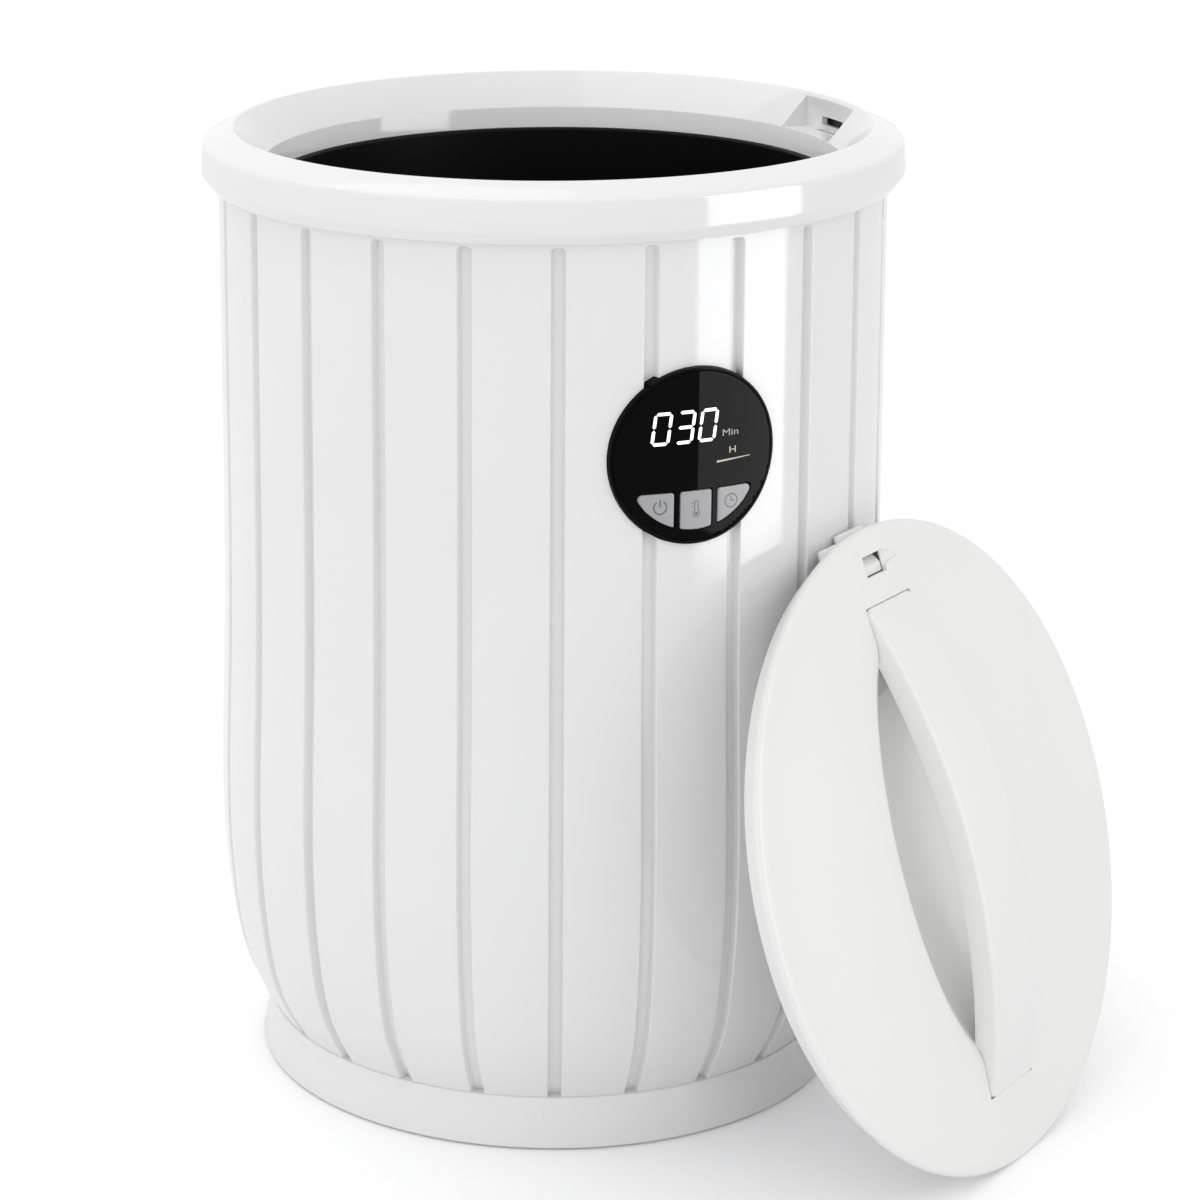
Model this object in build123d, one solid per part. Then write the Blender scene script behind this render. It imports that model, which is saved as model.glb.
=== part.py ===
"""Bucket towel warmer: a staved barrel with a heated liner, a curved control panel
and a lift-off lid that leans against the barrel. Millimetres, +Z up, floor at z = 0,
barrel axis on Z, control panel facing -Y, latch pocket of the rim on +X."""
from build123d import *
from math import cos, radians, sin
import os

os.makedirs("parts", exist_ok=True)

# ---- driving dimensions ---------------------------------------------------------
# Barrel: outer radius over the staves at a few heights, from the base ring up.
BARREL_OUTLINE = [(136.9, 25), (148.4, 47), (155.2, 75), (158.8, 120),
                  (156.6, 205), (154.2, 330), (153.0, 434)]
STAVES = 24
GROOVE_WIDTH, GROOVE_DEPTH = 6.0, 3.4
GROOVE_FOOT, GROOVE_TOP = 20.0, 423.5
SHELL_WALL = 2.4
CUTTER_IN, CUTTER_OUT = 120.0, 170.0     # radii that the groove cutters span

# Rim collar, from the mouth over the crest to the foot of its outer band.
MOUTH_R = 129.6
LEDGE_R, LEDGE_Z = 131.8, 435.4          # where the funnel meets the mouth wall
CREST_R, CREST_Z = 146.4, 451.4          # inner edge of the sloping top face
SHOULDER_R, SHOULDER_Z = 157.4, 443.9    # outer edge of the sloping top face
BAND_R, BAND_Z = 161.3, 430.5            # widest part of the outer band
COLLAR_FOOT_R, COLLAR_FOOT_Z = 157.3, 426.0
COLLAR_LIP_R = 153.4                     # inner edge of the foot lip
COLLAR_WALL = 2.4
CREST_ROUND, SHOULDER_ROUND, BAND_ROUND = 1.2, 2.0, 3.0

# Latch pocket in the funnel, with the slot that takes the bar of the lid.
POCKET_HALF = 24.6
POCKET_WALL_R = 144.0
SLOT_HALF = 12.4
SLOT_LOW, SLOT_HIGH, SLOT_END_X = 440.0, 446.2, 150.5
NOTCH_NEAR_X, NOTCH_FAR_X, NOTCH_DEPTH = 139.5, 143.0, 4.0

# Base.
RING_FOOT_R, RING_FOOT_Z = 141.9, 1.0
RING_TOP_R, RING_TOP_Z = 137.9, 25.0
RING_WALL = 2.6
FLANGE_IN_R = 126.0
SPIGOT_IN_R, SPIGOT_OUT_R, SPIGOT_TALL = 128.2, 130.6, 6.0
PLATE_LOW, PLATE_TOP, PLATE_R = 3.0, 5.6, 138.2
FEET, FOOT_R, FOOT_CIRCLE, FOOT_SEAT = 4, 10.0, 118.0, 1.2
BASE_SCREWS, BASE_SCREW_CIRCLE = 6, 131.0
BASE_BOSS_R, PILOT_R, CLEAR_R = 4.6, 1.5, 1.7
VENTS, VENT_LENGTH, VENT_WIDTH, VENT_CIRCLE = 12, 26.0, 4.5, 74.0
PILLARS = [(-42, -24), (42, -24), (-42, 24), (42, 24)]
PILLAR_R, PILLAR_TOP = 4.0, 18.0
GLAND_Z, GLAND_R, GLAND_BORE_R = 13.5, 6.0, 3.3
GLAND_LOCK_Y, GLAND_FACE_Y, GLAND_OUT_Y = 131.0, 141.2, 143.2
GLAND_LOCK_R, GLAND_FLANGE_R, GLAND_DISC_T = 7.6, 8.2, 2.0

# Liner and what wraps it.
LINER_R, LINER_WALL = 127.6, 0.8         # inside radius, sheet thickness
LINER_FLOOR, LINER_TOP = 50.0, 425.6     # underside of the floor, top of the flange
LINER_CORNER = 14.0
FLANGE_R = 142.0
HEATER_LOW, HEATER_HIGH, HEATER_T = 100.0, 340.0, 0.8
HEATER_GAP_HALF = 9.0                    # half the open strip at the back
JACKET_LOW, JACKET_HIGH = 60.0, 414.0
JACKET_IN, JACKET_OUT = 129.5, 135.3
CLAMP_T, CLAMP_IN_R, CLAMP_CIRCLE, CLAMP_SCREWS = 3.0, 131.5, 137.6, 8
CLAMP_BOSS_R, CLAMP_PILOT_R = 3.6, 1.3
CRADLE_IN_R, CRADLE_OUT_R, CRADLE_T = 70.0, 95.0, 4.0
CRADLE_LEGS, CRADLE_LEG_R, CRADLE_CIRCLE = 4, 6.0, 82.5

# Sensors under the liner's floor.
THERMOSTAT_R, THERMOSTAT_TALL = 9.0, 9.0
THERMOSTAT_CAP_R, THERMOSTAT_CAP_TALL = 6.0, 4.0
THERMOSTAT_EARS = (28.0, 8.0, 1.2)
THERMOSTAT_TAB = (0.8, 6.0, 7.0)
THERMOSTAT_TAB_X = 4.6
FUSE_Y, FUSE_DROP, FUSE_R, FUSE_LENGTH = 34.0, 4.0, 2.6, 16.0
FUSE_LEAD_R, FUSE_LEAD_LENGTH = 0.6, 34.0
FUSE_CLIP = (10.0, 8.0, 2.4)
SENSOR_X, SENSOR_Y, SENSOR_BEAD_R = 34.0, -32.0, 2.4
SENSOR_BLOCK = (12.0, 8.0, 5.0)

# Mains side, on the base plate.
BOARD_T = 1.6
POWER_BOARD_HALF = (48.0, 30.0)
# What stands on the power board: x from, x to, y from, y to, height.
BOARD_BLOCKS = [(-38, -19, -19, -4, 15), (10, 32, -22, 0, 18), (-30, -6, 14, 22, 9), (4, 24, 14, 22, 9)]
CAPACITOR_X, CAPACITOR_Y, CAPACITOR_R, CAPACITOR_TALL = -2.0, -16.0, 5.0, 16.0
TERMINAL_HALF_X, TERMINAL_Y0, TERMINAL_Y1, TERMINAL_TALL = 16.0, 92.0, 108.0, 14.0
TERMINAL_PITCH, TERMINAL_SCREW_R, TERMINAL_WIRE_R = 10.0, 2.2, 1.8
LOOM_R, LOOM_BEND, LOOM_LOW_Z = 1.9, 24.0, 21.5
LOOM_START_Y, LOOM_TURN_Y, LOOM_RISE_Y, LOOM_RISE_Z = -31.0, -112.0, -141.4, 62.0

# Control panel: a round, curved black window with three keys below the display.
PANEL_Z, PANEL_R = 331.4, 39.0
PANEL_FACE_R = 156.4                     # barrel-axis radius of the panel's face
BEZEL, LENS_T, LENS_SLACK = 1.4, 2.2, 0.1
HOUSING_BACK_Y, HOUSING_WALL = -137.2, 2.0
HOLE_SLACK = 0.3                         # round the cup, in the barrel
LOOM_DOOR_HALF = 4.0
KEY_BAND_R = 32.4                        # the keys fill a chord of this circle
KEY_TOP = -15.2                          # top edge of the keys, from the panel centre
KEY_HALF = 7.4                           # half width of the middle key
KEY_GAP = 3.0                            # between keys
KEY_CORNER = 1.2
KEY_PROUD, KEY_SLACK, KEY_FLANGE = 0.3, 0.3, 1.0
KEY_SKIRT = 1.6                          # how far a key reaches behind the window
STEM_R, STEM_START_Y, STEM_GAP = 2.0, -152.8, 1.0
STEM_OFFSET_X, STEM_DROP = 7.2, 6.6
BOARD_FRONT_Y, BOARD_SLACK = -143.4, 1.2
SWITCH_SIDE, SWITCH_TALL = 6.0, 3.4
DISPLAY_HALF_X, DISPLAY_LOW, DISPLAY_HIGH, DISPLAY_FRONT_Y = 23.0, -8.0, 24.0, -150.2
POST_R = 2.6
POST_PLACES = [(-26, 16), (26, 16), (0, -31)]

# Lid, in its own frame: X across, Y towards the tongue, Z out of the top face.
LID_R, LID_EDGE, LID_WALL = 149.5, 14.0, 2.5
LID_EDGE_SLOPE = 0.75                    # how fast the rim wall leans in
DOME_R, DOME_RISE = 130.0, 5.5
SCOOP_LENGTH, SCOOP_WIDTH, SCOOP_DEPTH = 97.0, 45.0, 21.0    # half length, half width, depth
STRAP_HALF, STRAP_REACH = 20.0, 116.0    # half width, half length
STRAP_LIFT, STRAP_LOW = 2.0, -2.3        # top and underside of the ends
STRAP_RISE, STRAP_THICK, STRAP_ROUND = 28.0, 13.0, 2.0
UNDER_REACH = 86.0                       # half length of the hand opening
SEAT_SLACK = 0.2
WINDOW_WIDE, WINDOW_TALL, WINDOW_Y = 17.0, 10.5, 131.2
TONGUE_HALF, TONGUE_IN, TONGUE_OUT = 24.0, 137.0, 142.5
TONGUE_TOP, TONGUE_SLACK = -9.5, 0.3
ROOT_HALF, ROOT_IN, ROOT_OUT, ROOT_LOW = 20.0, 116.0, 138.0, -11.8
BAR_HALF, BAR_OUT, BAR_LOW, BAR_HIGH = 11.5, 146.5, -15.5, -12.3
HOOK_HALF, HOOK_IN, HOOK_OUT, HOOK_TOP = 6.0, 124.0, 128.0, -4.0
COVER_FLOOR, COVER_T = -28.5, 2.0
FOAM_LOW, FOAM_R, FOAM_SLACK = -11.4, 116.0, 0.6
LID_SCREWS, LID_SCREW_CIRCLE, LID_POST_R, LID_POST_LOW = 6, 128.7, 4.0, -12.0
SEAL_IN_R, SEAL_OUT_R = 131.4, 136.0

# Where the loose lid stands: tipped against the barrel, lower edge on the floor.
LEAN_AZIMUTH = -57.66                    # compass of the lid's outward face
LEAN_BACK = 17.8                         # degrees that the face looks up
LEAN_REACH = 215.0                       # barrel axis to face centre, level
LEAN_SHIFT = 4.7                         # face centre off that line

AXIS = Axis.Z
UPWARD = (Align.CENTER, Align.CENTER, Align.MIN)


# ---- helpers --------------------------------------------------------------------
def turned(points):
    """A solid turned about Z from an outline of (radius, height) points."""
    return revolve(make_face(Plane.XZ * Polyline(*points, close=True)), AXIS)


def rod(radius, low, high, x=0.0, y=0.0):
    """An upright round bar."""
    return Pos(x, y, low) * Cylinder(radius, high - low, align=UPWARD)


def level_rod(radius, near, far, x=0.0, z=0.0):
    """A level round bar along Y."""
    return Pos(x, near, z) * Rot(-90, 0, 0) * Cylinder(radius, far - near, align=UPWARD)


def tube(outer, inner, low, high):
    """A plain tube about Z."""
    return rod(outer, low, high) - rod(inner, low - 1, high + 1)


def block(x0, x1, y0, y1, z0, z1):
    """A box between two corners."""
    return Pos((x0 + x1) / 2, (y0 + y1) / 2, (z0 + z1) / 2) * Box(x1 - x0, y1 - y0, z1 - z0)


def hung_block(size, x, y, top):
    """A box of a given size, centred on a place, below a height."""
    wide, deep, tall = size
    return block(x - wide / 2, x + wide / 2, y - deep / 2, y + deep / 2, top - tall, top)


def ring_of(count, radius, start=0.0):
    """Places on a circle about Z."""
    turns = [radians(start + 360 * k / count) for k in range(count)]
    return [(radius * cos(turn), radius * sin(turn)) for turn in turns]


def round_circle(solid, radius, size):
    """Rounds the circular edges of one radius."""
    edges = solid.edges().filter_by(GeomType.CIRCLE)
    return fillet(edges.filter_by(lambda e: abs(e.radius - radius) < 0.01), size)


def screws(places, head_r, head_low, head_high, shank_r, shank_top):
    """Upright screws: a flat head below a plain shank."""
    made = []
    for x, y in places:
        made.append(rod(head_r, head_low, head_high, x, y) + rod(shank_r, head_high, shank_top, x, y))
    return Compound(children=made)


def save(name, shape):
    """Writes one node's STEP file."""
    shape.label = name
    export_step(shape, f"parts/{name}.step")


# ---- barrel ---------------------------------------------------------------------
def barrel_core(inset):
    """The solid barrel form, inset from the top of the staves."""
    rim = [(r - inset, z) for r, z in BARREL_OUTLINE]
    foot, top = rim[0], rim[-1]
    side = Plane.XZ * Spline(*rim)
    back = Plane.XZ * Polyline(top, (0, top[1]), (0, foot[1]), foot)
    return revolve(make_face(side + back), AXIS)


def groove_cutters(width, top):
    """Upright cutters, one between each pair of staves."""
    cutter = block(CUTTER_IN, CUTTER_OUT, -width / 2, width / 2, GROOVE_FOOT, top)
    turns = [360 / STAVES * (k + 0.5) for k in range(STAVES)]
    return Compound(children=[Rot(0, 0, turn) * cutter for turn in turns])


def outer_shell():
    """Even-walled staved barrel: each stave is a hollow rib, each groove a web."""
    body = barrel_core(0)
    grooves = groove_cutters(GROOVE_WIDTH, GROOVE_TOP) & (body - barrel_core(GROOVE_DEPTH))
    webs = groove_cutters(GROOVE_WIDTH + 2 * SHELL_WALL, GROOVE_TOP + SHELL_WALL)
    cavity = (barrel_core(SHELL_WALL) - webs) + barrel_core(GROOVE_DEPTH + SHELL_WALL)
    hole = level_rod(PANEL_R + HOLE_SLACK, -CUTTER_OUT, -CUTTER_IN, z=PANEL_Z)
    return body - grooves - cavity - hole


# ---- rim collar -----------------------------------------------------------------
def collar_ring():
    """Thin-walled ring: funnel, sloping top face, outer band and foot lip."""
    wall = COLLAR_WALL
    outside = [(MOUTH_R, LINER_TOP), (LEDGE_R, LEDGE_Z), (CREST_R, CREST_Z),
               (SHOULDER_R, SHOULDER_Z), (BAND_R, BAND_Z), (COLLAR_FOOT_R, COLLAR_FOOT_Z)]
    lip = [(COLLAR_LIP_R, COLLAR_FOOT_Z), (COLLAR_LIP_R, COLLAR_FOOT_Z + wall)]
    inside = [(COLLAR_FOOT_R, COLLAR_FOOT_Z + wall), (BAND_R - 2.5, BAND_Z),
              (SHOULDER_R - 2.2, SHOULDER_Z - 2.0), (CREST_R, CREST_Z - 3.1),
              (LEDGE_R + 2.6, LEDGE_Z - 1.0), (MOUTH_R + 3.0, LINER_TOP)]
    ring = turned(outside + lip + inside)
    crest = ring.edges().filter_by(GeomType.CIRCLE).sort_by(AXIS)[-1]
    ring = fillet(crest, CREST_ROUND)
    ring = round_circle(ring, SHOULDER_R, SHOULDER_ROUND)
    return round_circle(ring, BAND_R, BAND_ROUND)


def pocket_case():
    """Solid for the pocket's walls, trimmed to what lies under the collar's faces."""
    reach = SHOULDER_R - 4.0
    under = turned([(LEDGE_R, LEDGE_Z), (CREST_R, CREST_Z - 0.3), (reach, SHOULDER_Z + 1.6),
                    (reach, LEDGE_Z - 4.4), (LEDGE_R, LEDGE_Z - 4.4)])
    half = POCKET_HALF + COLLAR_WALL
    case = block(MOUTH_R - 3.6, POCKET_WALL_R + COLLAR_WALL, -half, half, LEDGE_Z - COLLAR_WALL, CREST_Z)
    return case & under


def pocket_room():
    """The pocket itself, its slot and the small notch in its floor."""
    above = CREST_Z + 1
    room = block(CUTTER_IN, CREST_R + 4, -POCKET_HALF, POCKET_HALF, LEDGE_Z, above)
    room = room & rod(POCKET_WALL_R, LEDGE_Z, above)
    slot = block(POCKET_WALL_R - 2, SLOT_END_X, -SLOT_HALF, SLOT_HALF, SLOT_LOW, SLOT_HIGH)
    notch = block(NOTCH_NEAR_X, NOTCH_FAR_X, -SLOT_HALF, SLOT_HALF, LEDGE_Z - NOTCH_DEPTH, LEDGE_Z + 1)
    return room, slot, notch


def clamp_places():
    """Where the liner's screws stand."""
    return ring_of(CLAMP_SCREWS, CLAMP_CIRCLE, 180 / CLAMP_SCREWS)


def rim_collar():
    """Collar with its latch pocket and the bosses that the liner is screwed to."""
    ring = collar_ring() + pocket_case()
    for space in pocket_room():
        ring -= space
    under_funnel = turned([(LEDGE_R + 1.0, LEDGE_Z - 1.5), (CREST_R - 0.5, CREST_Z - 2.0),
                           (CREST_R - 0.5, LINER_TOP), (LEDGE_R + 1.0, LINER_TOP)])
    for x, y in clamp_places():
        ring += rod(CLAMP_BOSS_R, LINER_TOP, CREST_Z, x, y) & under_funnel
        ring -= rod(CLAMP_PILOT_R, LINER_TOP - 1, LINER_TOP + 10, x, y)
    return ring


# ---- base -----------------------------------------------------------------------
def base_screw_places():
    """Where the base plate's screws stand."""
    return ring_of(BASE_SCREWS, BASE_SCREW_CIRCLE)


def base_ring():
    """Flared foot ring: outer wall, top flange, spigot for the barrel, screw bosses."""
    under = RING_TOP_Z - RING_WALL
    spigot_top = RING_TOP_Z + SPIGOT_TALL
    ring = turned([(RING_FOOT_R, RING_FOOT_Z), (RING_TOP_R, RING_TOP_Z), (SPIGOT_OUT_R, RING_TOP_Z),
                   (SPIGOT_OUT_R, spigot_top), (SPIGOT_IN_R, spigot_top), (SPIGOT_IN_R, RING_TOP_Z),
                   (FLANGE_IN_R, RING_TOP_Z), (FLANGE_IN_R, under), (RING_TOP_R - RING_WALL, under),
                   (RING_FOOT_R - RING_WALL, RING_FOOT_Z)])
    for x, y in base_screw_places():
        ring += rod(BASE_BOSS_R, PLATE_TOP, under, x, y)
        ring -= rod(PILOT_R, PLATE_TOP - 1, PLATE_TOP + 12, x, y)
    return ring - level_rod(GLAND_R, GLAND_LOCK_Y, GLAND_OUT_Y, z=GLAND_Z)


def base_plate():
    """Closing plate with foot seats, air slots, board pillars and screw holes."""
    plate = rod(PLATE_R, PLATE_LOW, PLATE_TOP)
    for x, y in PILLARS:
        plate += rod(PILLAR_R, PLATE_TOP, PILLAR_TOP, x, y)
    for x, y in foot_places():
        plate -= rod(FOOT_R + 0.1, PLATE_LOW - 1, PLATE_LOW + FOOT_SEAT, x, y)
    for x, y in base_screw_places():
        plate -= rod(CLEAR_R, PLATE_LOW - 1, PLATE_TOP + 1, x, y)
    vent = Pos(VENT_CIRCLE, 0, PLATE_LOW - 1) * extrude(SlotOverall(VENT_LENGTH, VENT_WIDTH), 6)
    return plate - Compound(children=[Rot(0, 0, 360 / VENTS * k) * vent for k in range(VENTS)])


def foot_places():
    """Where the feet stand."""
    return ring_of(FEET, FOOT_CIRCLE, 180 / FEET)


def rubber_feet():
    """Round pads, pressed into the plate, that stand just below the ring."""
    return Compound(children=[rod(FOOT_R, 0, PLATE_LOW + FOOT_SEAT, x, y) for x, y in foot_places()])


# ---- liner and heater -----------------------------------------------------------
def inner_liner():
    """Deep-drawn metal bucket with a rolled-out flange at the mouth."""
    can = rod(LINER_R + LINER_WALL, LINER_FLOOR, LINER_TOP)
    can += rod(FLANGE_R, LINER_TOP - LINER_WALL, LINER_TOP)
    can = fillet(can.edges().sort_by(AXIS)[0], LINER_CORNER)
    space = rod(LINER_R, LINER_FLOOR + LINER_WALL, LINER_TOP + 1)
    can -= fillet(space.edges().sort_by(AXIS)[0], LINER_CORNER - LINER_WALL)
    for x, y in clamp_places():
        can -= rod(CLEAR_R, LINER_TOP - 3, LINER_TOP + 1, x, y)
    return can


def clamp_ring():
    """Flat ring that pulls the liner's flange up against the collar."""
    high = LINER_TOP - LINER_WALL
    ring = tube(FLANGE_R, CLAMP_IN_R, high - CLAMP_T, high)
    for x, y in clamp_places():
        ring -= rod(CLEAR_R, high - CLAMP_T - 1, high + 1, x, y)
    return ring


def clamp_screws():
    """Screws up through the clamp ring and the flange into the collar's bosses."""
    head_top = LINER_TOP - LINER_WALL - CLAMP_T
    return screws(clamp_places(), 3.0, head_top - 2, head_top, 1.25, LINER_TOP + 8)


def heater_band():
    """Foil heater wrapped round the liner, open for a narrow strip at the back."""
    inner = LINER_R + LINER_WALL
    gap = HEATER_GAP_HALF
    band = tube(inner + HEATER_T, inner, HEATER_LOW, HEATER_HIGH)
    return band - block(-gap, gap, 100, 150, HEATER_LOW - 1, HEATER_HIGH + 1)


def liner_cradle():
    """Ring on four legs that carries the liner's floor."""
    under = LINER_FLOOR - CRADLE_T
    cradle = tube(CRADLE_OUT_R, CRADLE_IN_R, under, LINER_FLOOR)
    for x, y in ring_of(CRADLE_LEGS, CRADLE_CIRCLE, 180 / CRADLE_LEGS):
        cradle += rod(CRADLE_LEG_R, PLATE_TOP, under, x, y)
    return cradle


def thermostat():
    """Snap-disc thermostat on the liner's floor: ears, body, cap and two tabs."""
    low = LINER_FLOOR - THERMOSTAT_TALL
    cap_low = low - THERMOSTAT_CAP_TALL
    body = rod(THERMOSTAT_R, low, LINER_FLOOR) + rod(THERMOSTAT_CAP_R, cap_low, low)
    body += hung_block(THERMOSTAT_EARS, 0, 0, LINER_FLOOR)
    for x in (-THERMOSTAT_TAB_X, THERMOSTAT_TAB_X):
        body += hung_block(THERMOSTAT_TAB, x, 0, cap_low)
    return body


def thermal_fuse():
    """Cut-out fuse in its clip under the liner's floor."""
    lying = Pos(0, FUSE_Y, LINER_FLOOR - FUSE_DROP) * Rot(0, 90, 0)
    fuse = lying * Cylinder(FUSE_R, FUSE_LENGTH) + lying * Cylinder(FUSE_LEAD_R, FUSE_LEAD_LENGTH)
    return fuse + hung_block(FUSE_CLIP, 0, FUSE_Y, LINER_FLOOR)


def ntc_sensor():
    """Thermistor bead in a small block under the liner's floor."""
    bead = Pos(SENSOR_X, SENSOR_Y, LINER_FLOOR - SENSOR_BLOCK[2] - 1) * Sphere(SENSOR_BEAD_R)
    return hung_block(SENSOR_BLOCK, SENSOR_X, SENSOR_Y, LINER_FLOOR) + bead


# ---- power side -----------------------------------------------------------------
def power_board():
    """Mains board with relay, transformer, capacitor and plug headers."""
    top = PILLAR_TOP + BOARD_T
    half_x, half_y = POWER_BOARD_HALF
    board = block(-half_x, half_x, -half_y, half_y, PILLAR_TOP, top)
    for x, y in PILLARS:
        board -= rod(CLEAR_R, PILLAR_TOP - 1, top + 1, x, y)
    for x0, x1, y0, y1, tall in BOARD_BLOCKS:
        board += block(x0, x1, y0, y1, top, top + tall)
    return board + rod(CAPACITOR_R, top, top + CAPACITOR_TALL, CAPACITOR_X, CAPACITOR_Y)


def terminal_block():
    """Three-way mains terminal behind the cord gland."""
    wire_z = PLATE_TOP + 6
    top = PLATE_TOP + TERMINAL_TALL
    body = block(-TERMINAL_HALF_X, TERMINAL_HALF_X, TERMINAL_Y0, TERMINAL_Y1, PLATE_TOP, top)
    for x in (-TERMINAL_PITCH, 0, TERMINAL_PITCH):
        body -= rod(TERMINAL_SCREW_R, wire_z, top + 1, x, TERMINAL_Y0 + 4)
        body -= level_rod(TERMINAL_WIRE_R, TERMINAL_Y1 - 6, TERMINAL_Y1 + 6, x, wire_z)
    return body


def cord_gland():
    """Flanged bush in the ring's back wall, with its cable bore."""
    body = level_rod(GLAND_R - 0.1, GLAND_LOCK_Y, GLAND_OUT_Y, z=GLAND_Z)
    flange = level_rod(GLAND_FLANGE_R, GLAND_FACE_Y, GLAND_OUT_Y, z=GLAND_Z)
    lock = level_rod(GLAND_LOCK_R, GLAND_LOCK_Y, GLAND_LOCK_Y + GLAND_DISC_T, z=GLAND_Z)
    bore = level_rod(GLAND_BORE_R, GLAND_LOCK_Y - 1, GLAND_OUT_Y + 1, z=GLAND_Z)
    return body + flange + lock - bore


def wire_loom():
    """Loom from the power board up beside the jacket to the control board."""
    door_z = PANEL_Z - PANEL_R + 1
    path = FilletPolyline((0, LOOM_START_Y, LOOM_LOW_Z), (0, LOOM_TURN_Y, LOOM_LOW_Z),
                          (0, LOOM_RISE_Y, LOOM_RISE_Z), (0, LOOM_RISE_Y, door_z), radius=LOOM_BEND)
    return sweep(Plane(origin=path @ 0, z_dir=path % 0) * Circle(LOOM_R), path)


# ---- control panel --------------------------------------------------------------
def facing(radius):
    """A bar along Y through the panel's centre, from outside to behind the cup."""
    return level_rod(radius, -CUTTER_OUT, HOUSING_BACK_Y + 5, z=PANEL_Z)


def curved(outer, inner):
    """Shell about the barrel's axis that gives the panel its curve."""
    return tube(outer, inner, PANEL_Z - 60, PANEL_Z + 60)


def in_front_of(y):
    """Everything round the panel on the outer side of a level."""
    return block(-60, 60, -CUTTER_OUT, y, PANEL_Z - 60, PANEL_Z + 60)


def key_outline(side, grow):
    """Key outline in the panel's plane: -1 left, 0 middle, 1 right."""
    band = Circle(KEY_BAND_R + grow) & (Pos(0, KEY_TOP - 20 + grow) * Rectangle(90, 40))
    if side == 0:
        key_shape = band & Rectangle(2 * (KEY_HALF + grow), 90)
    else:
        start = KEY_HALF + KEY_GAP - grow
        key_shape = band & (Pos(side * (start + 30), 0) * Rectangle(60, 90))
    return fillet(key_shape.vertices(), KEY_CORNER)


def key_bar(side, grow, outer, inner):
    """A key outline carried along Y and cut to a curved layer."""
    plane = Plane(origin=(0, -CUTTER_IN, PANEL_Z), x_dir=(1, 0, 0), z_dir=(0, -1, 0))
    return extrude(plane * key_outline(side, grow), 60) & curved(outer, inner)


def key_centre(side):
    """Where a key's stem and switch stand."""
    return side * (KEY_HALF + KEY_GAP + STEM_OFFSET_X), PANEL_Z + KEY_TOP - STEM_DROP


def control_housing():
    """Round cup let into the barrel, with a thin bezel round the window."""
    inner_back = HOUSING_BACK_Y - HOUSING_WALL
    cup = facing(PANEL_R) & curved(PANEL_FACE_R, 100) & in_front_of(HOUSING_BACK_Y)
    room = facing(PANEL_R - HOUSING_WALL) & in_front_of(inner_back)
    seat = facing(PANEL_R - BEZEL) & curved(200, PANEL_FACE_R - LENS_T)
    foot = PANEL_Z - PANEL_R
    door = block(-LOOM_DOOR_HALF, LOOM_DOOR_HALF, BOARD_FRONT_Y - 0.6, inner_back, foot - 1, foot + 4)
    return cup - room - seat - door


def panel_lens():
    """Smoked window, curved with the barrel, open for the three keys."""
    lens = facing(PANEL_R - BEZEL - LENS_SLACK) & curved(PANEL_FACE_R, PANEL_FACE_R - LENS_T)
    for side in (-1, 0, 1):
        lens -= key_bar(side, KEY_SLACK, CUTTER_OUT, CUTTER_IN)
    return lens


def key(side):
    """Key cap with a retaining flange and a stem down to its switch."""
    behind = PANEL_FACE_R - LENS_T
    cap = key_bar(side, 0, PANEL_FACE_R + KEY_PROUD, behind - KEY_SKIRT)
    flange = key_bar(side, KEY_FLANGE, behind - 0.1, behind - KEY_SKIRT)
    x, z = key_centre(side)
    return cap + flange + level_rod(STEM_R, STEM_START_Y, BOARD_FRONT_Y - SWITCH_TALL - STEM_GAP, x, z)


def display_module():
    """Digit light module behind the window."""
    half = DISPLAY_HALF_X
    low, high = PANEL_Z + DISPLAY_LOW, PANEL_Z + DISPLAY_HIGH
    return block(-half, half, DISPLAY_FRONT_Y, BOARD_FRONT_Y, low, high)


def control_board():
    """Round board that carries the display and the switches."""
    radius = PANEL_R - HOUSING_WALL - BOARD_SLACK
    return level_rod(radius, BOARD_FRONT_Y, BOARD_FRONT_Y + BOARD_T, z=PANEL_Z)


def tact_switches():
    """Three switches on the control board, one behind each key."""
    made = []
    half = SWITCH_SIDE / 2
    for side in (-1, 0, 1):
        x, z = key_centre(side)
        front = BOARD_FRONT_Y - SWITCH_TALL
        made.append(block(x - half, x + half, front, BOARD_FRONT_Y, z - half, z + half))
    return Compound(children=made)


def board_posts():
    """Short posts between the control board and the back of its cup."""
    low, high = BOARD_FRONT_Y + BOARD_T, HOUSING_BACK_Y - HOUSING_WALL
    return Compound(children=[level_rod(POST_R, low, high, x, PANEL_Z + z) for x, z in POST_PLACES])


# ---- lid, in its own frame ------------------------------------------------------
def domed_plug(inset, low):
    """Solid under the lid's top face: a flat border round a shallow dome."""
    rise = DOME_RISE - inset
    ball = (DOME_R ** 2 + DOME_RISE ** 2) / (2 * DOME_RISE)
    rim = LID_R - inset * 1.3
    foot = rim - LID_EDGE_SLOPE * (-inset - low)
    edge = Plane.XZ * Polyline((DOME_R, -inset), (rim, -inset), (foot, low), (0, low), (0, rise))
    top = Plane.XZ * RadiusArc((DOME_R, -inset), (0, rise), ball)
    return revolve(make_face(edge + top), AXIS)


def spindle(grow):
    """Form of the hand scoop: a spindle along Y that dips into the top face."""
    lift = (SCOOP_WIDTH ** 2 - SCOOP_DEPTH ** 2) / (2 * SCOOP_DEPTH)
    end, waist = lift + grow, lift + SCOOP_DEPTH + grow
    reach = SCOOP_LENGTH
    outline = Polyline((-reach, end), (-reach, 0), (reach, 0), (reach, end))
    bulge = ThreePointArc((reach, end), (0, waist), (-reach, end))
    turned_form = revolve(make_face(outline + bulge), Axis.X)
    return Pos(0, 0, lift) * Rot(0, 0, 90) * turned_form


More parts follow.
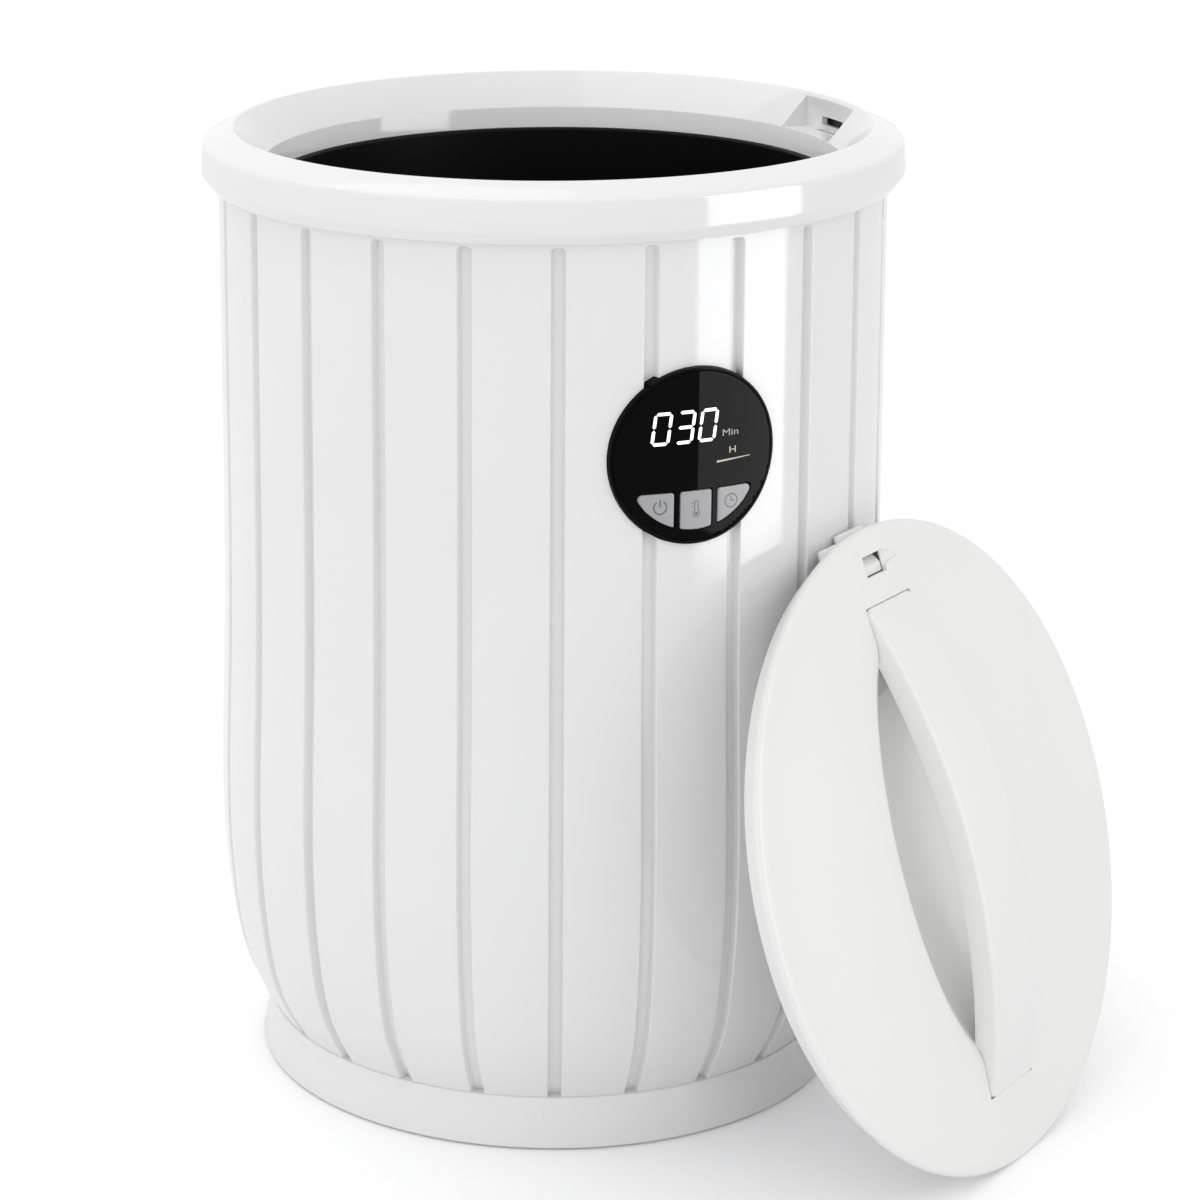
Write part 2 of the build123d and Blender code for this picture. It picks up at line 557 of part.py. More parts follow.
def strap_seats():
    """Shallow seats that take the two ends of the strap."""
    half = STRAP_HALF + SEAT_SLACK
    one = block(-half, half, UNDER_REACH - 2, STRAP_REACH + SEAT_SLACK, STRAP_LOW - 0.1, 10)
    return Compound(children=[one, Rot(0, 0, 180) * one])


def lid_screw_places():
    """Where the cover's screws stand."""
    return ring_of(LID_SCREWS, LID_SCREW_CIRCLE)


def lid_shell():
    """Moulded lid: bevelled edge, shallow dome, hand scoop, latch window."""
    solid = domed_plug(0, -LID_EDGE)
    dish = spindle(LID_WALL) & (solid + rod(FOAM_R + 4, -30, -LID_EDGE))
    shell = (solid - domed_plug(LID_WALL, -LID_EDGE - 1)) + dish - spindle(0)
    window = Pos(0, WINDOW_Y, 0) * Box(WINDOW_WIDE, WINDOW_TALL, 12)
    half = TONGUE_HALF + TONGUE_SLACK
    notch = block(-half, half, TONGUE_IN - 5, LID_R + 3, -LID_EDGE - 1, TONGUE_TOP + TONGUE_SLACK)
    shell = shell - window - notch - strap_seats()
    for x, y in lid_screw_places():
        shell += rod(LID_POST_R, LID_POST_LOW, 0, x, y) & domed_plug(1.0, -LID_EDGE)
        shell -= rod(1.3, LID_POST_LOW - 1, -4, x, y)
    return shell


def arch(reach, rise, low, half):
    """Bar across X between an arc over +-reach along Y and a level underside."""
    top = ThreePointArc((-reach, STRAP_LIFT), (0, STRAP_LIFT + rise), (reach, STRAP_LIFT))
    foot = Polyline((reach, STRAP_LIFT), (reach, low), (-reach, low), (-reach, STRAP_LIFT))
    return extrude(Plane.YZ * make_face(top + foot), half, both=True)


def lid_handle():
    """Arched strap across the scoop, its ends let into the top face."""
    strap = arch(STRAP_REACH, STRAP_RISE, STRAP_LOW, STRAP_HALF)
    strap -= arch(UNDER_REACH, STRAP_RISE - STRAP_THICK, STRAP_LOW - 5, STRAP_HALF + 5)
    arcs = strap.edges().filter_by(GeomType.CIRCLE)
    return fillet(arcs.filter_by(lambda e: e.length > 2 * STRAP_REACH), STRAP_ROUND)


def lid_tongue():
    """Stepped tongue with the bar that hooks into the collar's slot."""
    root = block(-ROOT_HALF, ROOT_HALF, ROOT_IN, ROOT_OUT, ROOT_LOW, TONGUE_TOP)
    step = block(-TONGUE_HALF, TONGUE_HALF, TONGUE_IN, TONGUE_OUT, BAR_LOW + 0.5, TONGUE_TOP)
    bar = block(-BAR_HALF, BAR_HALF, TONGUE_OUT - 1, BAR_OUT, BAR_LOW, BAR_HIGH)
    bar = chamfer(bar.edges().filter_by(Axis.X).sort_by(Axis.Y)[-2:], 1.1)
    hook = block(-HOOK_HALF, HOOK_HALF, HOOK_IN, HOOK_OUT, TONGUE_TOP, HOOK_TOP)
    return root + step + bar + hook


def lid_inner_cover():
    """Tapered pan that closes the lid's underside."""
    floor_top = COVER_FLOOR + COVER_T
    cover = turned([(136.2, -12), (136.2, -LID_EDGE), (126, -LID_EDGE), (124, -15.2), (121.5, -19.6),
                    (96, COVER_FLOOR), (0, COVER_FLOOR), (0, floor_top), (95.3, floor_top),
                    (119.8, -18), (122.4, -12)])
    for x, y in lid_screw_places():
        cover -= rod(CLEAR_R, -15, -11, x, y)
    half = TONGUE_HALF + TONGUE_SLACK
    return cover - block(-half, half, 133, 145, -16, -11)


def lid_insulation():
    """Foam disc inside the lid, relieved round the scoop and under the strap."""
    foam = domed_plug(LID_WALL + FOAM_SLACK, FOAM_LOW) & rod(FOAM_R, FOAM_LOW, 10)
    half, reach = STRAP_HALF + 1, STRAP_REACH + 2
    return foam - spindle(LID_WALL + FOAM_SLACK) - block(-half, half, -reach, reach, -6, 10)


def lid_seal():
    """Soft ring under the cover's flange that closes on the funnel."""
    lip = (SEAL_IN_R + SEAL_OUT_R) / 2
    return turned([(SEAL_IN_R, -LID_EDGE), (SEAL_OUT_R, -LID_EDGE), (SEAL_OUT_R, -16.6), (lip, -18.2),
                   (SEAL_IN_R, -16.6)])


def lean():
    """Place that carries the lid's own frame to where it leans on the barrel."""
    azimuth, back = radians(LEAN_AZIMUTH), radians(LEAN_BACK)
    level = (cos(azimuth), sin(azimuth))
    across = (-level[1], level[0])
    x = LEAN_REACH * level[0] + LEAN_SHIFT * across[0]
    y = LEAN_REACH * level[1] + LEAN_SHIFT * across[1]
    face = (cos(back) * level[0], cos(back) * level[1], sin(back))
    return Plane(origin=(x, y, LID_R * cos(back)), x_dir=(*across, 0), z_dir=face).location


# ---- every piece, in place ------------------------------------------------------
save("outer_shell", outer_shell())
save("rim_collar", rim_collar())
save("base_ring", base_ring())
save("base_plate", base_plate())
save("rubber_feet", rubber_feet())
save("base_screws", screws(base_screw_places(), 3.2, PLATE_LOW - 1.6, PLATE_LOW, 1.45, 14))
save("inner_liner", inner_liner())
save("liner_clamp_ring", clamp_ring())
save("clamp_screws", clamp_screws())
save("heater_band", heater_band())
save("insulation_jacket", tube(JACKET_OUT, JACKET_IN, JACKET_LOW, JACKET_HIGH))
save("liner_cradle", liner_cradle())
save("thermostat", thermostat())
save("thermal_fuse", thermal_fuse())
save("ntc_sensor", ntc_sensor())
save("power_board", power_board())
save("terminal_block", terminal_block())
save("cord_gland", cord_gland())
save("wire_loom", wire_loom())
save("control_housing", control_housing())
save("panel_lens", panel_lens())
save("display_module", display_module())
save("control_board", control_board())
save("tact_switches", tact_switches())
save("board_posts", board_posts())
for side, name in ((-1, "power_button"), (0, "temperature_button"), (1, "timer_button")):
    save(name, key(side))

stand = lean()
save("lid_shell", stand * lid_shell())
save("lid_handle", stand * lid_handle())
save("lid_tongue", stand * lid_tongue())
save("lid_inner_cover", stand * lid_inner_cover())
save("lid_insulation", stand * lid_insulation())
save("lid_seal", stand * lid_seal())
save("lid_screws", stand * screws(lid_screw_places(), 2.4, -LID_EDGE - 1.6, -LID_EDGE, 1.2, -5))
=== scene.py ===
# %% [markdown]
# # Dressing a bucket towel warmer
# The object is a round white barrel with a heated liner, a black control panel and a
# loose lid that leans against it. The CAD model holds every part at its real size, as a
# fixed frame. Each visible part then gets a smoother mesh or a better material.

# %% Load the frame
import math

import bmesh
import bpy
import numpy as np
from mathutils import Matrix, Vector


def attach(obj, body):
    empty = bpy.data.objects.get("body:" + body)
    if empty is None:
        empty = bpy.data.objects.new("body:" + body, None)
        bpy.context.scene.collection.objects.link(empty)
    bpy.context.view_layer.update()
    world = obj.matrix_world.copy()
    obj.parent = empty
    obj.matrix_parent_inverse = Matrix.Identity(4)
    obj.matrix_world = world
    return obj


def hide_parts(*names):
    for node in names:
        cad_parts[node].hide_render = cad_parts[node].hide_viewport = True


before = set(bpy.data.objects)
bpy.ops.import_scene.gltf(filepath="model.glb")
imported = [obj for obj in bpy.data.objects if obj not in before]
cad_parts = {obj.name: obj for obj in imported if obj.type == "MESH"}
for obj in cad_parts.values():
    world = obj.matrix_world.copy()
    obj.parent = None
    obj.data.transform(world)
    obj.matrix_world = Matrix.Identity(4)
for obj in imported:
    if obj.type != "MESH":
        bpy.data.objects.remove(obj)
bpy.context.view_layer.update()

MM = 0.001

# %% [markdown]
# ## Driving sizes
# The parts are rebuilt from a few dimensions in millimetres. Most are the CAD model's
# own; the grooves, the rim and the lid carry slightly finer ones.

# %% Sizes of the barrel, the rim and the base
BARREL_OUTLINE = [(136.9, 25), (148.4, 47), (155.2, 75), (158.8, 120),
                  (156.6, 205), (154.2, 330), (153.0, 434)]
STAVES = 24
GROOVE_WIDTH, GROOVE_DEPTH, GROOVE_TOP = 6.0, 4.2, 423.5
GROOVE_CORNER, SOFT_OUT, SOFT_IN = 1.6, 0.45, 0.75    # the groove's end and its soft edge
SHELL_WALL, COLLAR_WALL, CAN_WALL = 2.0, 2.4, 0.8
MOUTH_R, LINER_TOP = 129.6, 425.6
LEDGE_R, LEDGE_Z = 131.8, 435.4
CREST_R, CREST_Z = 146.4, 451.4
SHOULDER_R, SHOULDER_Z = 159.8, 445.0
BAND_R, BAND_Z = 161.05, 431.5
FOOT_IN_R, FOOT_Z = 153.6, 426.0
POCKET_HALF, POCKET_WALL_R = 23.6, 144.6
SLOT_HALF, SLOT_LOW, SLOT_HIGH = 10.3, 437.4, 441.5
NOTCH_NEAR_X, NOTCH_FAR_X = 141.0, 144.2
LINER_R, LINER_FLOOR, FLANGE_R = 127.6, 50.0, 142.0
RING_FOOT_R, RING_TOP_R, RING_FOOT_Z, RING_TOP_Z = 141.9, 137.9, 1.0, 25.0
GLAND_R, GLAND_Z = 6.0, 13.5

# %% Sizes of the control panel
PANEL_Z, PANEL_R, PANEL_FACE_R = 331.4, 39.0, 156.4
BEZEL, LENS_T, CUP_DEPTH, CUP_FLOOR = 1.4, 2.2, 14, 2
HOLE_GAP, LENS_GAP = 0.25, 0.1
KEY_BAND_R, KEY_TOP, KEY_HALF, KEY_GAP = 32.4, -15.2, 7.4, 3.0
KEY_SLACK, KEY_PROUD, KEY_DEPTH = 0.3, 0.3, 3.6
PRINT_R, PRINT_T = PANEL_FACE_R + 0.05, 0.08    # printed marks, a hair above the window

# %% Sizes of the lid, in its own frame: X across, Y towards the tongue, Z out of its face
LID_R, LID_EDGE, LID_EDGE_SLOPE, LID_WALL = 151.1, 12.0, 0.70, 2.4
LID_ROUND = 2.0
DOME_R, DOME_RISE, DOME_SOFT = 130.0, 5.5, 0.9
SCOOP_LENGTH, SCOOP_WIDTH, SCOOP_DEPTH, SCOOP_SOFT = 101.0, 45.0, 22.5, 4.0
STRAP_HALF, STRAP_REACH, STRAP_LIFT, STRAP_RISE = 19.5, 115.3, 1.8, 21.5
STRAP_EDGE, UNDER_EDGE, STRAP_END = 1.8, 0.9, 3.0    # radii of the strap's edges and ends
UNDER_REACH, UNDER_RISE, STRAP_LOW = 94.0, 14.3, -2.3
SEAT_SLACK, SEAT_DEPTH = 0.35, 1.3
WINDOW_WIDE, WINDOW_TALL, WINDOW_X, WINDOW_Y = 17.5, 9.8, -2.0, 132.6
LEAN_AZIMUTH, LEAN_BACK, LEAN_REACH, LEAN_SHIFT = -57.77, 18.37, 214.0, 5.98
SEAL_IN_R, SEAL_OUT_R, SEAL_TALL, SEAL_LIP = 131.4, 136.0, 2.6, 1.6

# %% Sizes of the screws and feet: each circle's radius, then how many stand on it
BASE_SCREW_CIRCLE, LID_SCREW_CIRCLE, SCREWS = 131.0, 128.7, 6
FOOT_CIRCLE, FOOT_R, FOOT_TALL, FEET = 118.0, 10.0, 4.2, 4

# %% [markdown]
# ## Helpers for meshes
# A few small helpers do most of the modelling. One makes an object from points and
# faces. One turns an outline about the barrel's axis, as a potter's wheel does. The
# others cut, join and round pieces with modifiers. They keep what a modifier made and
# drop the modifier, because the frame wants plain meshes that sit at the origin.

# %% Make, join, cut, thicken and round a piece
def make_piece(name, points, faces, material, sharp_deg=35.0, closed=True):
    """An object from points and faces; an open sheet keeps the facing it was drawn with."""
    mesh = bpy.data.meshes.new(name)
    mesh.from_pydata([tuple(p) for p in points], [], faces)
    mesh.materials.append(material)
    piece = bpy.data.objects.new(name, mesh)
    bpy.context.collection.objects.link(piece)
    tidy_mesh(piece, sharp_deg, closed)
    return piece


def tidy_mesh(piece, sharp_deg=35.0, closed=True):
    """Merges doubled points, turns faces outwards and shades smooth up to an angle."""
    work = bmesh.new()
    work.from_mesh(piece.data)
    bmesh.ops.remove_doubles(work, verts=work.verts, dist=0.005 * MM)
    if closed:
        bmesh.ops.recalc_face_normals(work, faces=work.faces)
    work.to_mesh(piece.data)
    work.free()
    piece.data.shade_smooth()
    piece.data.set_sharp_from_angle(angle=math.radians(sharp_deg))


def keep_result(piece):
    """Swaps the mesh for what the modifiers make of it, and removes them."""
    graph = bpy.context.evaluated_depsgraph_get()
    made = bpy.data.meshes.new_from_object(piece.evaluated_get(graph))
    piece.modifiers.clear()
    piece.data = made
    made.name = piece.name


def combine(piece, other, operation):
    """Boolean union, intersection or difference; the other piece is used up."""
    join = piece.modifiers.new("join", "BOOLEAN")
    join.object = other
    join.operation = operation
    join.solver = "MANIFOLD"
    keep_result(piece)
    bpy.data.objects.remove(other)


def cut_away(piece, cutter):
    """Takes one piece out of another."""
    combine(piece, cutter, "DIFFERENCE")


def thicken(piece, thick_mm):
    """Gives an open sheet a wall on its inner side."""
    wall = piece.modifiers.new("wall", "SOLIDIFY")
    wall.thickness = thick_mm * MM
    wall.offset = -1
    keep_result(piece)


def soften_edges(piece, width_mm, segments=3):
    """Rounds the edges that turn by more than 30 degrees."""
    bevel = piece.modifiers.new("soften", "BEVEL")
    bevel.width = width_mm * MM
    bevel.segments = segments
    bevel.limit_method = "ANGLE"
    bevel.angle_limit = math.radians(30)
    keep_result(piece)


# %% Outlines with rounded corners, and solids turned from them
NEARLY_STRAIGHT = 1.56    # half the angle at a corner, in radians, that gets no arc


def round_corners(outline, pieces=5):
    """Closed outline of (x, y, corner radius): each corner becomes an arc of a few points."""
    points = []
    for i, (x, y, radius) in enumerate(outline):
        here = Vector((x, y))
        back = Vector(outline[i - 1][:2]) - here
        ahead = Vector(outline[(i + 1) % len(outline)][:2]) - here
        half_turn = back.angle(ahead) / 2
        if radius <= 0 or half_turn > NEARLY_STRAIGHT:
            points.append(here)
            continue
        cut = min(radius / math.tan(half_turn), 0.48 * back.length, 0.48 * ahead.length)
        middle = (back.normalized() + ahead.normalized()).normalized()
        centre = here + middle * cut / math.cos(half_turn)
        start = here + back.normalized() * cut - centre
        end = here + ahead.normalized() * cut - centre
        sweep = math.pi - 2 * half_turn
        for k in range(pieces + 1):
            t = k / pieces
            spoke = start * math.sin((1 - t) * sweep) + end * math.sin(t * sweep)
            points.append(centre + spoke / math.sin(sweep))
    return points


def turn_outline(name, outline, material, steps=240):
    """Turns a closed outline of (radius, height) points about Z."""
    count = len(outline)
    points, faces = [], []
    for k in range(steps):
        angle = 2 * math.pi * k / steps
        for radius, height in outline:
            x, y = radius * math.cos(angle), radius * math.sin(angle)
            points.append((x * MM, y * MM, height * MM))
    for k in range(steps):
        here, there = k * count, (k + 1) % steps * count
        for i in range(count):
            j = (i + 1) % count
            faces.append((here + i, there + i, there + j, here + j))
    return make_piece(name, points, faces, material)


def hand_over(piece, body, slot, *nodes):
    """Gives a finished piece its body and hides the CAD nodes that it stands for; the slot is not
    used.
    """
    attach(piece, body)
    if nodes:
        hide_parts(*nodes)
    print(piece.name, "rides on", body, "with", len(piece.data.polygons), "faces")


# %% [markdown]
# ## Materials
# Nearly everything here is moulded plastic. A real moulding is never one flat colour:
# its tone and gloss drift a little, and its surface carries a long shallow ripple and
# sometimes a fine tool texture. One function builds that for each finish.

# %% Colours and nodes
DRIFT_MM = 70.0    # how far apart the slow changes of tone and gloss lie


def linear(code):
    """An sRGB hex colour as linear RGBA."""
    parts = [int(code[i:i + 2], 16) / 255 for i in (1, 3, 5)]
    return tuple(c / 12.92 if c <= 0.04045 else ((c + 0.055) / 1.055) ** 2.4
                 for c in parts) + (1.0,)


def add(tree, kind, values=None, links=None, **settings):
    """Adds one node with its settings, its fixed socket values and its links."""
    node = tree.nodes.new(kind)
    for name, value in settings.items():
        setattr(node, name, value)
    for socket, value in (values or {}).items():
        node.inputs[socket].default_value = value
    for socket, source in (links or {}).items():
        tree.links.new(source, node.inputs[socket])
    return node


def new_material(name):
    """An empty material and its tree."""
    material = bpy.data.materials.new(name)
    material.use_nodes = True
    material.node_tree.nodes.clear()
    return material, material.node_tree


def noise(tree, size_mm, detail=2.0):
    """Noise in the object's own coordinates, with spots of about a given size."""
    place = add(tree, "ShaderNodeTexCoord").outputs["Object"]
    return add(tree, "ShaderNodeTexNoise", {"Scale": 1 / (size_mm * MM), "Detail": detail},
               {"Vector": place}).outputs[0]


def two_tones(tree, dark, light, share):
    """A colour between two hex codes."""
    mix = add(tree, "ShaderNodeMix", {6: linear(dark), 7: linear(light)}, {0: share},
              data_type="RGBA")
    return mix.outputs[2]


def moulded(name, light, dark, roughness, ripple_mm=0.0, grain=0.0, grain_mm=0.6,
            ior=1.53, gloss_drift=0.04, metallic=0.0):
    """Moulded or coated surface: tone drift, gloss drift, long ripple and fine grain."""
    material, tree = new_material(name)
    drift = noise(tree, DRIFT_MM, 3.0)
    gloss = add(tree, "ShaderNodeMapRange",
                {1: 0.3, 2: 0.7, 3: roughness - gloss_drift / 2, 4: roughness + gloss_drift / 2},
                {0: drift})
    wave = add(tree, "ShaderNodeBump", {"Strength": 1.0, "Distance": ripple_mm * MM},
               {"Height": drift})
    skin = add(tree, "ShaderNodeBump", {"Strength": 1.0, "Distance": grain * MM},
               {"Height": noise(tree, grain_mm), "Normal": wave.outputs[0]})
    shader = add(tree, "ShaderNodeBsdfPrincipled", {"IOR": ior, "Metallic": metallic},
                 {"Base Color": two_tones(tree, dark, light, drift),
                  "Roughness": gloss.outputs[0], "Normal": skin.outputs[0]})
    add(tree, "ShaderNodeOutputMaterial", links={"Surface": shader.outputs[0]})
    return material


def lit(name, code, strength):
    """Light that comes from a display segment."""
    material, tree = new_material(name)
    level = add(tree, "ShaderNodeMapRange", {1: 0.2, 2: 0.8, 3: 0.92 * strength, 4: strength},
                {0: noise(tree, 1.5)})
    shader = add(tree, "ShaderNodeBsdfPrincipled",
                 {"Base Color": linear(code), "Emission Color": linear(code), "Roughness": 0.3},
                 {"Emission Strength": level.outputs[0]})
    add(tree, "ShaderNodeOutputMaterial", links={"Surface": shader.outputs[0]})
    return material


# %% The finishes of this object
GLOSS_ABS = moulded("white_abs_polished_mould", "#EDEDED", "#E9E9E9", 0.09, ripple_mm=0.05)
SATIN_ABS = moulded("white_abs_satin_mould", "#F0F0EF", "#EDEDEC", 0.40, ripple_mm=0.03,
                    grain=0.004, ior=1.42)
BASE_ABS = moulded("white_abs_textured_mould", "#E2E2E3", "#DCDCDE", 0.5, grain=0.02,
                   grain_mm=0.9)
LINER_COAT = moulded("black_nonstick_coat_on_aluminium", "#070707", "#040404", 0.45,
                     grain=0.01, ior=1.2)
CUP_BLACK = moulded("black_abs_polished_mould", "#040404", "#030303", 0.12, ior=1.15)
LENS_BLACK = moulded("smoked_acrylic_hard_coat", "#020202", "#010101", 0.03,
                     gloss_drift=0.01, ior=1.15)
KEY_GREY = moulded("grey_abs_fine_spark_texture", "#A6A6A8", "#A0A0A3", 0.38, grain=0.006,
                   grain_mm=0.4)
# Flat dark grey plates for the pictures on the keys: painted shade of the engraved grooves that
# the real keys have.
KEY_GROOVE_SHADE = moulded("grey_painted_groove_shade", "#5F5F63", "#5A5A5E", 0.45)
MARK_CREAM = moulded("cream_silk_print", "#CFC8B4", "#C8C1AD", 0.4)
MARK_GREY = moulded("grey_silk_print", "#A9A9A8", "#A2A2A1", 0.4)
DIGIT_LIGHT = lit("white_display_segment", "#FFFFFF", 1.1)
ZINC = moulded("zinc_plated_steel", "#C9CACC", "#BDBEC1", 0.32, metallic=1.0, ior=1.5)
RUBBER = moulded("moulded_black_rubber", "#1B1B1C", "#161617", 0.7, grain=0.02)
SILICONE = moulded("translucent_silicone_rubber", "#D9D9D6", "#D1D1CE", 0.55, grain=0.01)
print(len(bpy.data.materials), "materials")

# %% [markdown]
# ## The barrel: one stave, repeated
# The barrel is a moulded shell that imitates wooden staves. All of its staves are the
# same, so only one strip is modelled, with a groove down its middle and half a stave on
# each side. Geometry Nodes then repeat the strip round the axis, which keeps the count
# of staves a single input. The groove is a dip in the strip's radius with a soft edge,
# because a moulded edge is never sharp and its round catches the light.

# %% The barrel's swelling outline as a smooth function of height
def smooth_through(points):
    """Natural cubic spline through (value, height) points."""
    heights = np.array([p[1] for p in points], float)
    values = np.array([p[0] for p in points], float)
    step = np.diff(heights)
    climb = np.diff(values) / step
    count = len(points)
    system, right = np.eye(count), np.zeros(count)
    for i in range(1, count - 1):
        system[i, i - 1:i + 2] = (step[i - 1], 2 * (step[i - 1] + step[i]), step[i])
        right[i] = 3 * (climb[i] - climb[i - 1])
    bend = np.linalg.solve(system, right)

    def value_at(height):
        i = int(np.clip(np.searchsorted(heights, height) - 1, 0, count - 2))
        h = height - heights[i]
        slope = climb[i] - step[i] * (2 * bend[i] + bend[i + 1]) / 3
        twist = (bend[i + 1] - bend[i]) / (3 * step[i])
        return float(values[i] + h * (slope + h * (bend[i] + h * twist)))
    return value_at


barrel_radius = smooth_through(BARREL_OUTLINE)
print("barrel radius half way up:", round(barrel_radius(230), 2), "mm")


# %% One strip of the barrel
def smooth_step(t):
    """Eases from 0 to 1."""
    t = min(max(t, 0.0), 1.0)
    return t * t * (3 - 2 * t)


def groove_dip(across, height):
    """How deep the groove is at a place: a rounded slot that ends below the rim."""
    side = abs(across) - GROOVE_WIDTH / 2 + GROOVE_CORNER
    end = height - GROOVE_TOP + GROOVE_CORNER
    corner = math.hypot(max(side, 0), max(end, 0)) + min(max(side, end), 0)
    outside = corner - GROOVE_CORNER
    return GROOVE_DEPTH * smooth_step((SOFT_OUT - outside) / (SOFT_OUT + SOFT_IN))


def stave_strip(material):
    """A groove with half a stave on each side, as rows of points up the barrel."""
    near = [0, 1.0, 1.7, 2.05, 2.3, 2.55, 2.8, 3.05, 3.3, 3.55, 3.8, 4.4, 5.6, 8.0]
    shares = [0.25, 0.5, 0.75, 1.0]
    clear = 9.0    # any distance that lies clear of the groove
    half_angle = math.pi / STAVES
    foot, top = BARREL_OUTLINE[0][1], BARREL_OUTLINE[-1][1]
    heights = list(np.linspace(foot, 417, 33)) + list(np.arange(418.5, 426.1, 0.5)) + [430, top]
    points, faces = [], []
    for height in heights:
        radius = barrel_radius(height)
        row = [(s, s / radius) for s in near]
        start = near[-1] / radius
        row += [(clear, start + (half_angle - start) * share) for share in shares]
        row = [(-s, -a) for s, a in reversed(row[1:])] + row
        for across, angle in row:
            r = radius - groove_dip(across, height)
            points.append((r * math.cos(angle) * MM, r * math.sin(angle) * MM, height * MM))
    width = 2 * (len(near) + len(shares)) - 1
    for i in range(len(heights) - 1):
        for j in range(width - 1):
            a = i * width + j
            faces.append((a, a + 1, a + width + 1, a + width))
    return make_piece("barrel", points, faces, material, 60, closed=False)


# %% The node tree that repeats the strip
def repeat_tree(name):
    """Geometry Nodes: repeats the mesh evenly round Z and joins the seams."""
    tree = bpy.data.node_groups.new(name, "GeometryNodeTree")
    for label, kind in (("Geometry", "NodeSocketGeometry"), ("Count", "NodeSocketInt"),
                        ("Start", "NodeSocketFloat"), ("Weld", "NodeSocketFloat"),
                        ("Finish", "NodeSocketMaterial")):
        tree.interface.new_socket(name=label, in_out="INPUT", socket_type=kind)
    tree.interface.new_socket(name="Geometry", in_out="OUTPUT", socket_type="NodeSocketGeometry")
    given = tree.nodes.new("NodeGroupInput").outputs
    spots = add(tree, "GeometryNodeMeshLine", {"Offset": (0, 0, 0)}, {"Count": given["Count"]})
    step = add(tree, "ShaderNodeMath", {0: 2 * math.pi}, {1: given["Count"]}, operation="DIVIDE")
    index = add(tree, "GeometryNodeInputIndex")
    turn = add(tree, "ShaderNodeMath", operation="MULTIPLY_ADD",
               links={0: index.outputs[0], 1: step.outputs[0], 2: given["Start"]})
    spin = add(tree, "ShaderNodeCombineXYZ", links={"Z": turn.outputs[0]})
    copies = add(tree, "GeometryNodeInstanceOnPoints",
                 links={"Points": spots.outputs[0], "Instance": given["Geometry"],
                        "Rotation": spin.outputs[0]})
    real = add(tree, "GeometryNodeRealizeInstances", links={0: copies.outputs[0]})
    weld = add(tree, "GeometryNodeMergeByDistance",
               links={0: real.outputs[0], "Distance": given["Weld"]})
    done = add(tree, "GeometryNodeSetMaterial",
               links={0: weld.outputs[0], "Material": given["Finish"]})
    add(tree, "NodeGroupOutput", links={0: done.outputs[0]})
    return tree


def repeat_round(piece, count, material, start_deg=0.0, weld_mm=0.02):
    """Runs the repeat tree on a piece and keeps the plain mesh."""
    tree = repeat_tree(piece.name + "_repeat")
    round_axis = piece.modifiers.new("round_axis", "NODES")
    round_axis.node_group = tree
    values = {"Count": count, "Start": math.radians(start_deg), "Weld": weld_mm * MM,
              "Finish": material}
    for socket in tree.interface.items_tree:
        if socket.in_out == "INPUT" and socket.name in values:
            round_axis[socket.identifier] = values[socket.name]
    keep_result(piece)


# %% Build the barrel, give it a wall and cut the panel's hole
def hole_cutter(radius, near_y, far_y, height):
    """A level round bar along Y, used as a knife."""
    bpy.ops.mesh.primitive_cylinder_add(
        vertices=96, radius=radius * MM, depth=(far_y - near_y) * MM,
        location=(0, (near_y + far_y) / 2 * MM, height * MM), rotation=(math.pi / 2, 0, 0))
    return bpy.context.object


barrel = stave_strip(GLOSS_ABS)
repeat_round(barrel, STAVES, GLOSS_ABS, start_deg=180 / STAVES - 90)
thicken(barrel, SHELL_WALL)
cut_away(barrel, hole_cutter(PANEL_R + HOLE_GAP, -175, -125, PANEL_Z))
tidy_mesh(barrel, 60)
hand_over(barrel, "bucket", "barrel_plastic", "outer_shell")

# %% [markdown]
# ## The rim collar and its latch pocket
# The collar is one turned outline: a funnel into the mouth, a sloping top face, a
# slanting outer band and a rolled foot. Its corners get arcs in the outline itself,
# so the highlights along them stay clean. The latch pocket is then cut out of a
# thickened stretch of funnel with a boolean, as a slide in the mould would form it.

# %% Turn the collar
def collar_outline():
    """Out over the rim, down to the rolled foot, then back along the inner side."""
    roll_r, lip_z = BAND_R - 4, FOOT_Z + COLLAR_WALL
    return round_corners([
        (MOUTH_R, LINER_TOP, 0.3), (LEDGE_R, LEDGE_Z, 1.0), (CREST_R, CREST_Z, 1.3),
        (SHOULDER_R, SHOULDER_Z, 2.4), (BAND_R, BAND_Z, 3.0), (roll_r, FOOT_Z, 0.8),
        (FOOT_IN_R, FOOT_Z, 0.4), (FOOT_IN_R, lip_z, 0.3), (roll_r, lip_z, 0.5),
        (BAND_R - 2.6, BAND_Z, 1.0), (SHOULDER_R - COLLAR_WALL, SHOULDER_Z - 2, 1.0),
        (CREST_R, CREST_Z - 3.1, 1.0), (LEDGE_R + 2.6, LEDGE_Z - 1.0, 0.8),
        (MOUTH_R + 3.0, LINER_TOP, 0.3)])


def box_piece(name, low, high, material=GLOSS_ABS):
    """A box between two corners, in millimetres."""
    points = [(x * MM, y * MM, z * MM) for x in (low[0], high[0]) for y in (low[1], high[1])
              for z in (low[2], high[2])]
    faces = [(0, 1, 3, 2), (4, 6, 7, 5), (0, 4, 5, 1), (2, 3, 7, 6), (0, 2, 6, 4), (1, 5, 7, 3)]
    return make_piece(name, points, faces, material)


collar = turn_outline("rim_collar", collar_outline(), GLOSS_ABS, steps=288)

